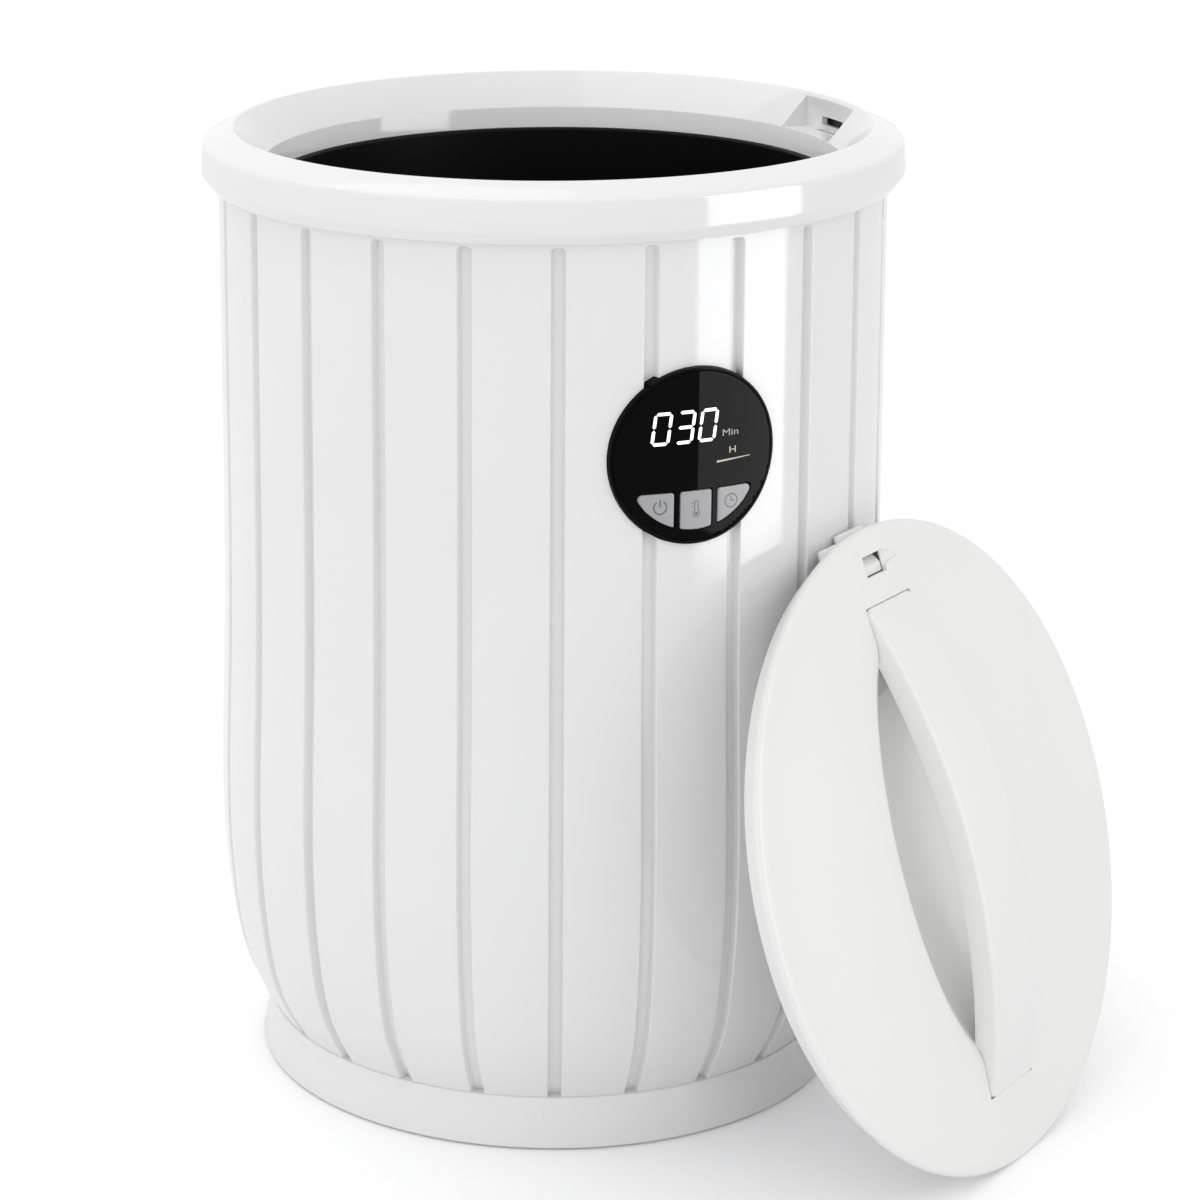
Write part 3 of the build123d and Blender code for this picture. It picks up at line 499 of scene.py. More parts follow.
# %% The pocket's walls: a block trimmed to what lies under the funnel and the top face
outer_half, far_x = POCKET_HALF + COLLAR_WALL, POCKET_WALL_R + COLLAR_WALL
case = box_piece("pocket_case", (126, -outer_half, LEDGE_Z - COLLAR_WALL),
                 (far_x, outer_half, CREST_Z))
inner_r, outer_r, below = LEDGE_R + 0.2, SHOULDER_R - 4, LEDGE_Z - 4.4
under_faces = turn_outline("under_faces", [
    (inner_r, LEDGE_Z), (CREST_R, CREST_Z - 0.6), (outer_r, SHOULDER_Z + 1.2),
    (outer_r, below), (inner_r, below)], GLOSS_ABS, steps=288)
combine(case, under_faces, "INTERSECT")
combine(collar, case, "UNION")
print("the collar with its pocket's walls has", len(collar.data.polygons), "faces")

# %% The pocket's room, the slot for the bar and the notch in the ledge
room = box_piece("pocket_room", (120, -POCKET_HALF, LEDGE_Z), (150, POCKET_HALF, CREST_Z + 3))
pocket_limit = turn_outline("pocket_limit", [
    (0, LEDGE_Z - 1), (POCKET_WALL_R, LEDGE_Z - 1), (POCKET_WALL_R, CREST_Z + 5),
    (0, CREST_Z + 5)], GLOSS_ABS, steps=288)
combine(room, pocket_limit, "INTERSECT")
cut_away(collar, room)
cut_away(collar, box_piece("slot", (143, -SLOT_HALF, SLOT_LOW), (151.5, SLOT_HALF, SLOT_HIGH)))
cut_away(collar, box_piece("notch", (NOTCH_NEAR_X, -SLOT_HALF, LEDGE_Z - 4),
                           (NOTCH_FAR_X, SLOT_HALF, LEDGE_Z + 1)))
tidy_mesh(collar, 28)
hand_over(collar, "bucket", "barrel_plastic", "rim_collar")

# %% [markdown]
# ## The base ring and the liner
# Both are plain turned forms. The ring flares to its foot, and its top edge is crisp
# where the barrel stands on it. The liner is drawn from aluminium sheet and baked with
# a black coating, so it swallows nearly all the light that falls into it.

# %% Turn the base ring and the liner
rib_out_r, rib_in_r, rib_top, ring_in_r, under_top = 130.6, 128.2, 31, 126.0, 22.4
ring_outline = round_corners([
    (RING_FOOT_R, RING_FOOT_Z, 0.8), (RING_TOP_R, RING_TOP_Z, 0.9),
    (rib_out_r, RING_TOP_Z, 0.2), (rib_out_r, rib_top, 0.3), (rib_in_r, rib_top, 0.3),
    (rib_in_r, RING_TOP_Z, 0.2), (ring_in_r, RING_TOP_Z, 0.3), (ring_in_r, under_top, 0.3),
    (RING_TOP_R - 2.6, under_top, 0.8), (RING_FOOT_R - 2.6, RING_FOOT_Z, 0.5)])
base_ring = turn_outline("base_ring", ring_outline, GLOSS_ABS, steps=288)
cut_away(base_ring, hole_cutter(GLAND_R, 130, 146, GLAND_Z))
tidy_mesh(base_ring)
hand_over(base_ring, "bucket", "barrel_plastic", "base_ring")

can_r, flange_low = LINER_R + CAN_WALL, LINER_TOP - CAN_WALL
liner_outline = round_corners([
    (0, LINER_FLOOR + CAN_WALL, 0), (LINER_R, LINER_FLOOR + CAN_WALL, 13.2),
    (LINER_R, LINER_TOP, 1.2), (FLANGE_R, LINER_TOP, 0), (FLANGE_R, flange_low, 0),
    (can_r, flange_low, 0.4), (can_r, LINER_FLOOR, 14), (0, LINER_FLOOR, 0)], pieces=8)
liner = turn_outline("inner_liner", liner_outline, LINER_COAT, steps=192)
hand_over(liner, "bucket", "liner_coating", "inner_liner")

# %% [markdown]
# ## The control panel
# The panel is a round black window that follows the barrel's curve. It is easiest to
# draw flat: outlines in a plane, filled and given a thickness by a 2D curve. A helper
# then slices the flat plate into narrow strips and bends it onto the barrel, so that a
# reflection runs across it as smoothly as over the staves beside it.

# %% Plates drawn flat and bent onto the panel's curve
PANEL_STRIP = 2.0    # width of the strips that follow the bend


def bend_to_panel(flat, face_r, thick, material):
    """Makes a flat drawing a mesh and wraps it round the barrel at a radius."""
    graph = bpy.context.evaluated_depsgraph_get()
    mesh = bpy.data.meshes.new_from_object(flat.evaluated_get(graph))
    mesh.materials.clear()
    mesh.materials.append(material)
    piece = bpy.data.objects.new(flat.name, mesh)
    bpy.context.collection.objects.link(piece)
    bpy.data.objects.remove(flat)
    work = bmesh.new()
    work.from_mesh(mesh)
    for x in np.arange(-40, 40.1, PANEL_STRIP):
        everything = work.verts[:] + work.edges[:] + work.faces[:]
        bmesh.ops.bisect_plane(work, geom=everything, dist=1e-7, plane_co=(x * MM, 0, 0),
                               plane_no=(1, 0, 0))
    for vert in work.verts:
        x, up, out = vert.co
        radius = (face_r - thick / 2) * MM + out
        vert.co = (x, -math.sqrt(radius ** 2 - x ** 2), PANEL_Z * MM + up)
    work.to_mesh(mesh)
    work.free()
    tidy_mesh(piece, 30)
    return piece


def curved_plate(name, outlines, face_r, thick, rim, material):
    """Plate from closed flat outlines in millimetres, its rim rounded, bent onto the barrel."""
    curve = bpy.data.curves.new(name, "CURVE")
    curve.dimensions = "2D"
    curve.fill_mode = "BOTH"
    curve.extrude = (thick / 2 - rim) * MM
    curve.bevel_depth = rim * MM
    curve.bevel_resolution = 2
    curve.offset = -rim * MM
    for outline in outlines:
        spline = curve.splines.new("POLY")
        spline.points.add(len(outline) - 1)
        for point, (x, y) in zip(spline.points, outline):
            point.co = (x * MM, y * MM, 0, 1)
        spline.use_cyclic_u = True
    flat = bpy.data.objects.new(name, curve)
    bpy.context.collection.objects.link(flat)
    return bend_to_panel(flat, face_r, thick, material)


def arc_points(radius, start_deg, end_deg, count, x=0.0, y=0.0):
    """Points along an arc, both ends included."""
    turns = np.radians(np.linspace(start_deg, end_deg, count))
    return [(x + radius * math.cos(t), y + radius * math.sin(t)) for t in turns]


def circle(radius, x=0.0, y=0.0, count=96):
    """A closed circle's points."""
    return arc_points(radius, 0, 360 * (1 - 1 / count), count, x, y)


def key_outline(side, grow):
    """A key: a chord of the key circle, cut into three; -1 left, 0 middle, 1 right."""
    band, top = KEY_BAND_R + grow, KEY_TOP + grow
    if side == 0:
        near, far = -(KEY_HALF + grow), KEY_HALF + grow
    else:
        near = KEY_HALF + KEY_GAP - grow
        far = math.sqrt(band ** 2 - top ** 2)
    turn_from = math.degrees(math.atan2(-math.sqrt(band ** 2 - near ** 2), near))
    rounding, tip_rounding, tip_turn = 1.2, 2.4, 15
    if side:
        turn_to = math.degrees(math.atan2(top, far)) - tip_turn
        tip = [(far, top, tip_rounding)]
    else:
        turn_to = math.degrees(math.atan2(-math.sqrt(band ** 2 - far ** 2), far))
        tip = [(far, top, rounding)]
    foot = arc_points(band, turn_from, turn_to, 12)
    outline = [(near, top, rounding), (*foot[0], rounding)] + [(x, y, 0) for x, y in foot[1:-1]]
    outline += [(*foot[-1], 0 if side else rounding)] + tip
    points = [(p.x, p.y) for p in round_corners(outline, 4)]
    return [(-x, y) for x, y in points] if side < 0 else points


# %% The cup with its bezel, and the smoked window
def join_pieces(name, pieces):
    """One object from several, in the order given."""
    work = bmesh.new()
    for piece in pieces:
        work.from_mesh(piece.data)
    joined = pieces[0]
    work.to_mesh(joined.data)
    work.free()
    for piece in pieces[1:]:
        bpy.data.objects.remove(piece)
    joined.name = name
    joined.data.name = name
    joined.data.shade_smooth()
    joined.data.set_sharp_from_angle(angle=math.radians(35))
    return joined


cup_wall = curved_plate("cup_wall", [circle(PANEL_R), circle(PANEL_R - BEZEL)],
                        PANEL_FACE_R, CUP_DEPTH, 0.45, CUP_BLACK)
cup_back = curved_plate("cup_back", [circle(PANEL_R - 0.5)],
                        PANEL_FACE_R - CUP_DEPTH + CUP_FLOOR / 2, CUP_FLOOR, 0.2, CUP_BLACK)
cup = join_pieces("control_housing", [cup_wall, cup_back])
hand_over(cup, "bucket", "black_gloss", "control_housing")

openings = [key_outline(side, KEY_SLACK) for side in (-1, 0, 1)]
lens = curved_plate("panel_lens", [circle(PANEL_R - BEZEL - LENS_GAP)] + openings,
                    PANEL_FACE_R, LENS_T, 0.25, LENS_BLACK)
hand_over(lens, "bucket", "smoked_window", "panel_lens")

# %% [markdown]
# ## Digits, words and marks
# The display shows three digits made of seven bars each. Every bar is a small hexagon,
# and a table says which bars a figure lights. The words are Blender text turned into
# mesh, and the pictures on the keys are narrow strips along a few arcs and lines. All
# of them are thin plates bent onto the same curve, a hair above the face.

# %% Seven-bar digits
DIGIT_WIDE, DIGIT_TALL, DIGIT_PITCH, BAR, BAR_GAP = 8.5, 14.6, 10.8, 1.4, 0.32
DIGIT_LEFT, DIGIT_FOOT, DIGIT_SLANT = -20.6, 6.1, 0.13
LIT_BARS = {"0": "abcdef", "3": "abcdg"}


def digit_bars(figure, left):
    """Hexagon outlines of the bars that a figure lights."""
    low, mid, high = BAR / 2, DIGIT_TALL / 2, DIGIT_TALL - BAR / 2
    near, far = BAR / 2, DIGIT_WIDE - BAR / 2
    ends = {"a": ((near, high), (far, high)), "b": ((far, high), (far, mid)),
            "c": ((far, mid), (far, low)), "d": ((near, low), (far, low)),
            "e": ((near, mid), (near, low)), "f": ((near, high), (near, mid)),
            "g": ((near, mid), (far, mid))}
    outlines = []
    for bar in LIT_BARS[figure]:
        start, end = Vector(ends[bar][0]), Vector(ends[bar][1])
        along = (end - start).normalized()
        side = Vector((-along.y, along.x)) * BAR / 2
        start, end = start + along * BAR_GAP, end - along * BAR_GAP
        slope = along * BAR / 2
        corners = (start, start + slope + side, end - slope + side, end,
                   end - slope - side, start + slope - side)
        outlines.append([(left + c.x + DIGIT_SLANT * (c.y - mid), DIGIT_FOOT + c.y)
                         for c in corners])
    return outlines


bars = []
for place, figure in enumerate("030"):
    bars += digit_bars(figure, DIGIT_LEFT + place * DIGIT_PITCH)
digits = curved_plate("display_digits", bars, PRINT_R, PRINT_T, 0.0, DIGIT_LIGHT)
hand_over(digits, "bucket", "smoked_window")


# %% Words and the printed line
def printed_word(name, word, left, foot, wide, tall, material):
    """Blender text, fitted to a width and a height, as a thin plate on the panel."""
    text = bpy.data.curves.new(name, "FONT")
    text.body = word
    text.extrude = PRINT_T / 2 * MM
    flat = bpy.data.objects.new(name, text)
    bpy.context.collection.objects.link(flat)
    graph = bpy.context.evaluated_depsgraph_get()
    mesh = bpy.data.meshes.new_from_object(flat.evaluated_get(graph))
    bpy.data.objects.remove(flat)
    spots = np.array([v.co for v in mesh.vertices])
    low, size = spots.min(0), np.ptp(spots, axis=0)
    for vert in mesh.vertices:
        vert.co.x = (left + (vert.co.x - low[0]) / size[0] * wide) * MM
        vert.co.y = (foot + (vert.co.y - low[1]) / size[1] * tall) * MM
    made = bpy.data.objects.new(name, mesh)
    bpy.context.collection.objects.link(made)
    return bend_to_panel(made, PRINT_R, PRINT_T, material)


minutes = printed_word("word_minutes", "Min", 12.3, 7.6, 7.8, 2.9, MARK_GREY)
heat = printed_word("letter_heat", "H", 15.8, -0.3, 3.2, 2.9, MARK_CREAM)
line = curved_plate("heat_line", [[(9.6, -3.9), (9.7, -3.0), (26.4, -2.4), (26.4, -2.7)]],
                    PRINT_R, PRINT_T, 0.0, MARK_CREAM)
for mark in (minutes, heat, line):
    hand_over(mark, "bucket", "smoked_window")


# %% Keys and their pictures
def stroke(path, wide):
    """Outline of a strip along a path."""
    path = [Vector(p) for p in path]
    left, right = [], []
    for i, here in enumerate(path):
        along = (path[min(i + 1, len(path) - 1)] - path[max(i - 1, 0)]).normalized()
        side = Vector((-along.y, along.x)) * wide / 2
        left.append(tuple(here + side))
        right.append(tuple(here - side))
    return left + right[::-1]


def power_mark(x, y):
    """An open ring with a short bar in its gap."""
    return [stroke(arc_points(2.9, 122, 418, 40, x, y), 0.6),
            stroke([(x, y + 0.3), (x, y + 3.5)], 0.6)]


def thermometer_mark(x, y):
    """A tube over a bulb, and two marks of its scale."""
    top, bulb = y + 2.6, y - 2.2
    tube = [(x - 0.8, y - 1.0), (x - 0.8, top)] + arc_points(0.8, 180, 0, 9, x, top)
    tube += [(x + 0.8, top), (x + 0.8, y - 1.0)] + arc_points(1.5, 55, -235, 24, x, bulb)
    return [stroke(tube, 0.4), circle(0.7, x, bulb, 20),
            stroke([(x - 2.4, top), (x - 1.6, y + 2.1)], 0.4),
            stroke([(x - 2.4, y + 0.9), (x - 1.6, y + 0.7)], 0.4)]


def clock_mark(x, y):
    """A ring with two hands."""
    return [circle(3.25, x, y, 40), circle(2.8, x, y, 40), stroke([(x, y + 2.2), (x, y)], 0.45),
            stroke([(x - 0.2, y), (x + 1.7, y)], 0.45)]


KEY_FACE_R, MARK_T = PANEL_FACE_R + KEY_PROUD, 0.06
KEYS = [("power_button", -1, "power_key", power_mark(-16.8, -21.2)),
        ("temperature_button", 0, "temperature_key", thermometer_mark(0, -23.0)),
        ("timer_button", 1, "timer_key", clock_mark(17.0, -21.6))]
for node, side, body, picture in KEYS:
    key = curved_plate(node, [key_outline(side, 0)], KEY_FACE_R, KEY_DEPTH, 0.5, KEY_GREY)
    hand_over(key, body, "key_grey", node)
    # The picture is a thin dark plate lying on the key: painted shade of an engraved groove.
    mark = curved_plate(node + "_mark", picture, KEY_FACE_R + MARK_T / 2, MARK_T, 0.0, KEY_GROOVE_SHADE)
    hand_over(mark, body, "key_grey")

# %% [markdown]
# ## The lid
# The lid's top is one moulded skin: a flat border, a shallow dome and a spindle-shaped
# hollow for the hand. A sheet of rings and spokes carries it, and a formula gives each
# point's height. It takes the lower of dome and hollow with a soft minimum, which makes
# the rolled edge of the hollow.

# %% Where the lid stands
azimuth, back = math.radians(LEAN_AZIMUTH), math.radians(LEAN_BACK)
level = Vector((math.cos(azimuth), math.sin(azimuth), 0))
across = Vector((-level.y, level.x, 0))
face = level * math.cos(back) + Vector((0, 0, math.sin(back)))
upward = face.cross(across)
rim_centre = LID_R - LID_ROUND * (LID_EDGE_SLOPE + math.hypot(1, LID_EDGE_SLOPE))
stand = (level * LEAN_REACH + across * LEAN_SHIFT) * MM
stand.z = (rim_centre * math.cos(back) + LID_ROUND * (1 + math.sin(back))) * MM
LID_PLACE = Matrix.Translation(stand) @ Matrix((across, upward, face)).transposed().to_4x4()
print("the lid's face looks up by", round(math.degrees(math.asin(face.z)), 1), "degrees")


def lean(piece, slot, node):
    """Moves a finished lid piece from the lid's own frame to its place, and hands it over."""
    piece.data.transform(LID_PLACE)
    hand_over(piece, "lid", slot, node)


# %% The height of the lid's top
def soft_min(a, b, width):
    """The lower of two heights, with a rounded change from one to the other."""
    share = np.clip(0.5 + 0.5 * (b - a) / width, 0, 1)
    return b + (a - b) * share - width * share * (1 - share)


# The hollow is a spindle: its axis lies above the lid, and its side is an arc.
LIFT = (SCOOP_WIDTH ** 2 - SCOOP_DEPTH ** 2) / (2 * SCOOP_DEPTH)
BULGE_R = (SCOOP_LENGTH ** 2 + SCOOP_DEPTH ** 2) / (2 * SCOOP_DEPTH)


def top_height(u, v):
    """Height of the lid's top over its border."""
    radius = math.hypot(u, v)
    dome = DOME_RISE * (1 - (radius / DOME_R) ** 2)
    dome = -soft_min(-dome, 0.0, DOME_SOFT)
    spindle = LIFT + math.sqrt(BULGE_R ** 2 - v ** 2) - (BULGE_R - SCOOP_DEPTH)
    if spindle <= abs(u):
        return dome
    return float(soft_min(dome, LIFT - math.sqrt(spindle ** 2 - u ** 2), SCOOP_SOFT))


print("the hollow is", round(-top_height(0, 0), 1), "mm deep")


# %% The lid's skin
def lid_sheet(material, spokes=300):
    """Rings and spokes over the top, then the rounded rim and the slanting side."""
    profile = [(r, None) for r in np.linspace(1.5, 143.2, 96)]
    foot_r = LID_R - LID_EDGE_SLOPE * LID_EDGE
    corner = round_corners([(140, 0, 0), (LID_R, 0, LID_ROUND), (foot_r, -LID_EDGE, 0)], 6)
    profile += [(p.x, p.y) for p in corner[1:-1]]
    profile += [(LID_R - LID_EDGE_SLOPE * d, -d) for d in (5, 7.5, 10, LID_EDGE)]
    points = [(0, 0, top_height(0, 0) * MM)]
    faces = []
    for radius, height in profile:
        for k in range(spokes):
            angle = 2 * math.pi * k / spokes
            u, v = radius * math.cos(angle), radius * math.sin(angle)
            w = top_height(u, v) if height is None else height
            points.append((u * MM, v * MM, w * MM))
    for k in range(spokes):
        faces.append((0, 1 + k, 1 + (k + 1) % spokes))
    for ring in range(len(profile) - 1):
        here, there = 1 + ring * spokes, 1 + (ring + 1) * spokes
        for k in range(spokes):
            n = (k + 1) % spokes
            faces.append((here + k, there + k, there + n, here + n))
    return make_piece("lid_shell", points, faces, material, 50, closed=False)


lid = lid_sheet(SATIN_ABS)
thicken(lid, LID_WALL)
print("the lid's skin has", len(lid.data.polygons), "faces")

# %% Cut the window, the strap's seats and the ramp into the lid
half_wide, half_tall = WINDOW_WIDE / 2, WINDOW_TALL / 2
cut_away(lid, box_piece("window", (WINDOW_X - half_wide, WINDOW_Y - half_tall, -6),
                        (WINDOW_X + half_wide, WINDOW_Y + half_tall, 4)))
seat_half, seat_far = STRAP_HALF + SEAT_SLACK, STRAP_REACH + SEAT_SLACK
for near, far in ((UNDER_REACH - 2, seat_far), (-seat_far, 2 - UNDER_REACH)):
    cut_away(lid, box_piece("seat", (-seat_half, near, -SEAT_DEPTH), (seat_half, far, 8)))
ramp_corners = [(6, 130.2, 3), (21.5, 132.6, 3), (6, 137, 3), (6, 130.2, -1.7),
                (21.5, 132.6, 0.1), (6, 137, -1.7), (21.5, 134.4, 3), (21.5, 134.4, 0.1)]
ramp_faces = [(0, 1, 6, 2), (3, 5, 7, 4), (0, 3, 4, 1), (1, 4, 7, 6), (6, 7, 5, 2), (2, 5, 3, 0)]
ramp = make_piece("ramp", [(u * MM, v * MM, w * MM) for u, v, w in ramp_corners], ramp_faces,
                  SATIN_ABS)
cut_away(lid, ramp)
tidy_mesh(lid, 32)
lean(lid, "lid_plastic", "lid_shell")

# %% [markdown]
# ## The strap
# The handle is an arched bar across the hollow, the same width all along. It is built
# as a row of cross-sections: each is a rounded rectangle whose top and underside follow
# two arcs. Beyond the opening the underside drops into the lid, which makes the small
# step that the fingers meet at each end.

# %% Cross-sections along the arch
def arc_height(v, reach, rise):
    """Height of a shallow arc over a chord of +-reach."""
    radius = (reach ** 2 + rise ** 2) / (2 * rise)
    return math.sqrt(max(radius ** 2 - v ** 2, 0)) - (radius - rise)


def strap_section(v):
    """Rounded rectangle (u, w) of the strap at a place along it."""
    top = STRAP_LIFT + arc_height(v, STRAP_REACH, STRAP_RISE)
    low = STRAP_LOW
    if abs(v) < UNDER_REACH:
        low = STRAP_LOW + arc_height(v, UNDER_REACH, UNDER_RISE)
    beyond = max(abs(v) - (STRAP_REACH - STRAP_END), 0)
    half = STRAP_HALF - STRAP_END + math.sqrt(max(STRAP_END ** 2 - beyond ** 2, 0))
    return round_corners([(-half, low, UNDER_EDGE), (half, low, UNDER_EDGE),
                          (half, top, STRAP_EDGE), (-half, top, STRAP_EDGE)], 4)


def strap(material):
    """Joins the sections; they stand close where the underside steps and at the ends."""
    steps = list(np.linspace(0, UNDER_REACH - 1, 30)) + [UNDER_REACH - 0.01, UNDER_REACH + 0.01]
    steps += list(np.linspace(UNDER_REACH + 2, STRAP_REACH - 3, 7))
    steps += [STRAP_REACH - short for short in (2.1, 1.3, 0.7, 0.3, 0)]
    places = [-v for v in reversed(steps[1:])] + steps
    points, faces = [], []
    for v in places:
        points += [(p.x * MM, v * MM, p.y * MM) for p in strap_section(v)]
    count = len(strap_section(0))
    for row in range(len(places) - 1):
        a, b = row * count, (row + 1) * count
        for i in range(count):
            j = (i + 1) % count
            faces.append((a + i, b + i, b + j, a + j))
    last = (len(places) - 1) * count
    faces += [tuple(range(count)), tuple(last + i for i in reversed(range(count)))]
    return make_piece("lid_handle", points, faces, material, 40)


handle = strap(SATIN_ABS)
lean(handle, "lid_plastic", "lid_handle")

# %% [markdown]
# ## The lid's tongue, cover and seal
# The tongue hooks the lid into the rim: a wide step with a narrower bar at its end. The
# cover closes the underside as a tapered pan, and a soft ring round it seals the mouth.

# %% Tongue
def soft_box(name, low, high, round_mm):
    """A box with rounded edges."""
    piece = box_piece(name, low, high, SATIN_ABS)
    soften_edges(piece, round_mm, segments=4)
    return piece


# The catch is a wedge that fills the window and slopes down towards the rim.
catch_side = [(128.1, -8.6), (128.1, -2.0), (132.4, -2.0), (136.9, -5.4), (136.9, -8.6)]
catch_ends = [((WINDOW_X + u) * MM, v * MM, w * MM) for u in (-8.2, 8.2) for v, w in catch_side]
catch_faces = [(0, 1, 2, 3, 4), (9, 8, 7, 6, 5)]
catch_faces += [(i, 5 + i, 5 + (i + 1) % 5, (i + 1) % 5) for i in range(5)]
catch = make_piece("catch", catch_ends, catch_faces, SATIN_ABS)
soften_edges(catch, 0.5)
tongue = join_pieces("lid_tongue", [
    soft_box("root", (-20, 116.4, -9.8), (20, 140, -7.5), 0.6),
    soft_box("step", (-27, 138.6, -12.4), (27, 146, -7.5), 1.6),
    soft_box("bar", (-11.5, 145, -12.0), (11.5, 149.3, -8.8), 1.2), catch])
lean(tongue, "lid_plastic", "lid_tongue")

# %% Cover and seal
pan_floor, pan_wall = -26.5, 2.0
cover_outline = round_corners([
    (0, pan_floor, 0), (96, pan_floor, 6), (121.5, -17.6, 3), (124, -13.2, 0.8),
    (126, -LID_EDGE, 0.5), (136.2, -LID_EDGE, 0.5), (136.2, pan_wall - LID_EDGE, 0.5),
    (122.4, pan_wall - LID_EDGE, 0.5), (119.8, -16, 2), (95.3, pan_floor + pan_wall, 5),
    (0, pan_floor + pan_wall, 0)])
cover = turn_outline("lid_inner_cover", cover_outline, BASE_ABS)
lean(cover, "base_plastic", "lid_inner_cover")

seal_foot = -LID_EDGE - SEAL_TALL
seal_outline = round_corners([
    (SEAL_IN_R, -LID_EDGE, 0.3), (SEAL_OUT_R, -LID_EDGE, 0.4), (SEAL_OUT_R, seal_foot, 0.8),
    ((SEAL_IN_R + SEAL_OUT_R) / 2, seal_foot - SEAL_LIP, 0.9), (SEAL_IN_R, seal_foot, 0.8)])
seal = turn_outline("lid_seal", seal_outline, SILICONE)
lean(seal, "silicone", "lid_seal")

# %% [markdown]
# ## Screws and feet
# The same node tree that repeats the staves also places the screws and the feet: one is
# modelled beside the axis and turned round it. A screw's head is a short turned form
# with a cross cut into it.

# %% Screws with a cross recess
def cross_screw(name, head_r, head_low, head_high, shank_r, shank_top, circle_r):
    """A screw whose head looks down, moved out to its circle."""
    outline = round_corners([
        (0, head_low, 0), (head_r, head_low, 0.6), (head_r, head_high, 0.1),
        (shank_r, head_high, 0.1), (shank_r, shank_top, 0.2), (0, shank_top, 0)], 3)
    screw = turn_outline(name, outline, ZINC, steps=28)
    arm, half_arm = head_r * 0.62, head_r * 0.13
    for wide, deep in ((arm, half_arm), (half_arm, arm)):
        cut_away(screw, box_piece("cross", (-wide, -deep, head_low - 1),
                                  (wide, deep, head_low + 0.9)))
    tidy_mesh(screw)
    screw.data.transform(Matrix.Translation((circle_r * MM, 0, 0)))
    return screw


base_screws = cross_screw("base_screws", head_r=3.2, head_low=1.4, head_high=3.0, shank_r=1.45,
                          shank_top=14, circle_r=BASE_SCREW_CIRCLE)
repeat_round(base_screws, SCREWS, ZINC, weld_mm=0.0)
hand_over(base_screws, "bucket", "zinc_steel", "base_screws")
lid_screws = cross_screw("lid_screws", head_r=2.4, head_low=-LID_EDGE - 1.6,
                         head_high=-LID_EDGE, shank_r=1.2, shank_top=-5,
                         circle_r=LID_SCREW_CIRCLE)
repeat_round(lid_screws, SCREWS, ZINC, weld_mm=0.0)
lean(lid_screws, "zinc_steel", "lid_screws")

# %% Rubber feet
foot_outline = round_corners([(0, 0, 0), (FOOT_R, 0, 1.2), (FOOT_R, FOOT_TALL, 0.2),
                              (0, FOOT_TALL, 0)], 4)
feet = turn_outline("rubber_feet", foot_outline, RUBBER, steps=48)
feet.data.transform(Matrix.Translation((FOOT_CIRCLE * MM, 0, 0)))
repeat_round(feet, FEET, RUBBER, start_deg=45, weld_mm=0.0)
hand_over(feet, "bucket", "rubber", "rubber_feet")

# %% [markdown]
# ## CAD parts that only need a finish
# The rest of the parts already have the right shape. Most are hidden inside, but each
# still gets the material of the real part, because a reader may open the model.

# %% Finishes for the carried-over nodes
FELT = moulded("needled_glass_felt", "#D8D2C2", "#C9C2B0", 0.95, grain=0.12, grain_mm=1.2)
FOAM = moulded("melamine_foam", "#E6E6E2", "#DCDCD8", 0.95, grain=0.1, grain_mm=0.8)
FOIL = moulded("aluminium_foil_heater", "#D6D7DA", "#C9CACD", 0.25, ripple_mm=0.2,
               metallic=1.0, ior=1.5)
BOARD = moulded("glass_epoxy_board", "#1E5B34", "#19502D", 0.35)
BLOCKS = moulded("black_phenolic_mould", "#18181A", "#131315", 0.5)
NYLON = moulded("natural_nylon_mould", "#DAD8CF", "#D0CEC5", 0.5, grain=0.008)
SLEEVE = moulded("silicone_wire_sleeve", "#232325", "#1C1C1E", 0.6)
CAD_FINISH = {
    "base_plate": BASE_ABS, "cord_gland": BASE_ABS, "liner_clamp_ring": ZINC, "clamp_screws": ZINC,
    "heater_band": FOIL, "insulation_jacket": FELT, "liner_cradle": NYLON, "thermostat": BLOCKS,
    "thermal_fuse": ZINC, "ntc_sensor": BLOCKS, "power_board": BOARD, "terminal_block": NYLON,
    "wire_loom": SLEEVE, "display_module": BLOCKS, "control_board": BOARD, "tact_switches": BLOCKS,
    "board_posts": CUP_BLACK, "lid_insulation": FOAM}
for node, finish in CAD_FINISH.items():
    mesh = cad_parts[node].data
    mesh.materials.clear()
    mesh.materials.append(finish)
print(len(CAD_FINISH), "CAD nodes keep their own mesh")

# %% [markdown]
# ## Floor, light and camera
# White goods on white need a plain, even light, which the world gives from all sides. A
# tall panel on the right only shows as a bright upright patch on the polished barrel. A
# weak panel on the left and a wide one overhead shape the rim and the soft shadows.

# %% Floor
FLOOR_LIFT = 0.13     # light that the floor adds for the camera, to come out white
FLOOR_HALF = 14.0     # metres


def floor_material():
    """Matt white paper that the camera sees as plain white, with the shadows kept."""
    material, tree = new_material("matt_white_paper_sweep")
    tone = two_tones(tree, "#F4F4F5", "#FAFAFB", noise(tree, 3, 3.0))
    paper = add(tree, "ShaderNodeBsdfDiffuse", links={"Color": tone})
    seen = add(tree, "ShaderNodeLightPath")
    lift = add(tree, "ShaderNodeEmission", {"Color": (1, 1, 1, 1), "Strength": FLOOR_LIFT})
    both = add(tree, "ShaderNodeAddShader", links={0: paper.outputs[0], 1: lift.outputs[0]})
    pick = add(tree, "ShaderNodeMixShader",
               links={0: seen.outputs["Is Camera Ray"], 1: paper.outputs[0], 2: both.outputs[0]})
    add(tree, "ShaderNodeOutputMaterial", links={"Surface": pick.outputs[0]})
    return material


turns = ((-1, -1), (1, -1), (1, 1), (-1, 1))
floor = make_piece("floor", [(x * FLOOR_HALF, y * FLOOR_HALF, 0) for x, y in turns],
                   [(0, 1, 2, 3)], floor_material())

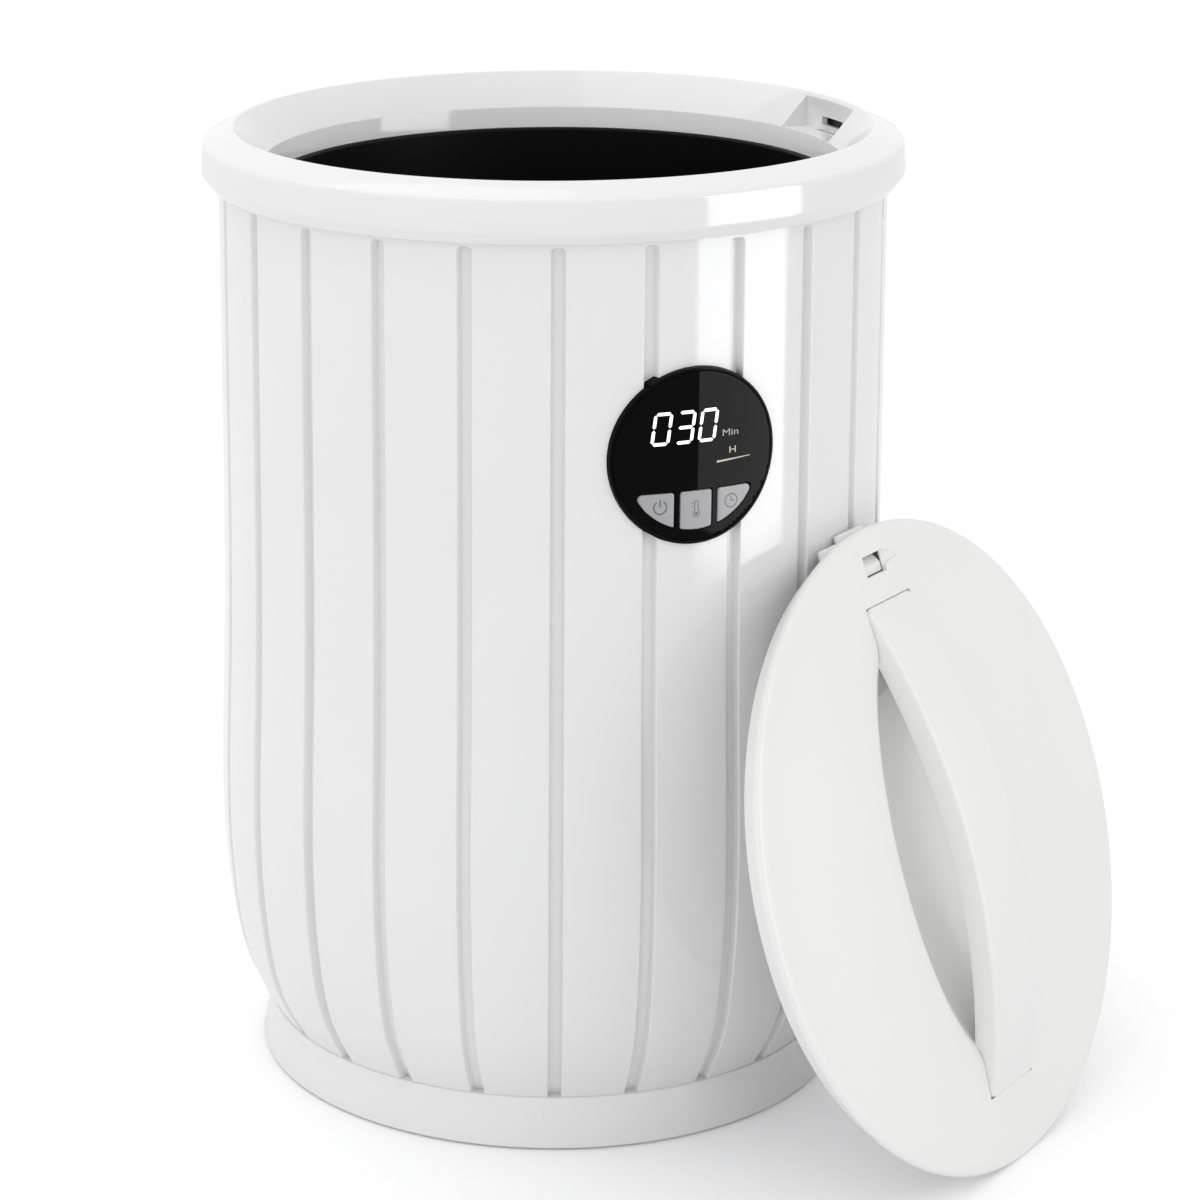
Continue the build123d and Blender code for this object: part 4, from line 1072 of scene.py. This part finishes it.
# %% World and lamps
WORLD_LEVEL = 0.95
world = bpy.data.worlds.new("studio")
bpy.context.scene.world = world
world.use_nodes = True
tree = world.node_tree
tree.nodes.clear()
seen = add(tree, "ShaderNodeLightPath")
direct = add(tree, "ShaderNodeMath", operation="MAXIMUM",
             links={0: seen.outputs["Is Camera Ray"], 1: seen.outputs["Is Glossy Ray"]})
even = add(tree, "ShaderNodeBackground", {"Color": (1, 1, 1, 1), "Strength": WORLD_LEVEL})
white = add(tree, "ShaderNodeBackground", {"Color": (1, 1, 1, 1), "Strength": 1.0})
pick = add(tree, "ShaderNodeMixShader",
           links={0: direct.outputs[0], 1: even.outputs[0], 2: white.outputs[0]})
add(tree, "ShaderNodeOutputWorld", links={"Surface": pick.outputs[0]})


def soft_panel(name, centre, aim, wide, tall, watts):
    """A rectangular area lamp that faces a point."""
    lamp = bpy.data.lights.new(name, "AREA")
    lamp.shape = "RECTANGLE"
    lamp.size, lamp.size_y = wide, tall
    lamp.energy = watts
    holder = bpy.data.objects.new(name, lamp)
    holder.location = centre
    holder.rotation_euler = (Vector(aim) - Vector(centre)).to_track_quat("-Z", "Y").to_euler()
    bpy.context.collection.objects.link(holder)
    return holder


right_panel = soft_panel("right_panel", (0.688, -0.832, 0.56), (0.13, -0.20, 0.56), 0.65, 1.1,
                         9.5)
right_panel.visible_diffuse = False    # it only shows as a reflection
soft_panel("left_panel", (-1.6, -1.2, 1.2), (0, 0, 0.25), 1.2, 1.4, 1.0)
soft_panel("top_panel", (-0.6, 0.5, 2.2), (0, 0, 0.2), 1.8, 1.4, 6.0)

# %% Camera: its three directions in space, and where it stands
camera_data = bpy.data.cameras.new("camera")
camera = bpy.data.objects.new("camera", camera_data)
bpy.context.collection.objects.link(camera)
bpy.context.scene.camera = camera
camera_data.sensor_width = 36
camera_data.lens = 104.157
camera_data.shift_x = 0.15341
camera_data.shift_y = 0.06795
right = Vector((0.931165, -0.364478, -0.009400))
above = Vector((0.126396, 0.298517, 0.945998))
toward = Vector((0.341989, 0.882068, -0.324037))
place = Vector((-633.358, -1454.070, 723.493)) * MM
turned = Matrix((right, above, -toward)).transposed().to_4x4()
camera.matrix_world = Matrix.Translation(place) @ turned
bpy.context.scene.view_settings.view_transform = "Standard"
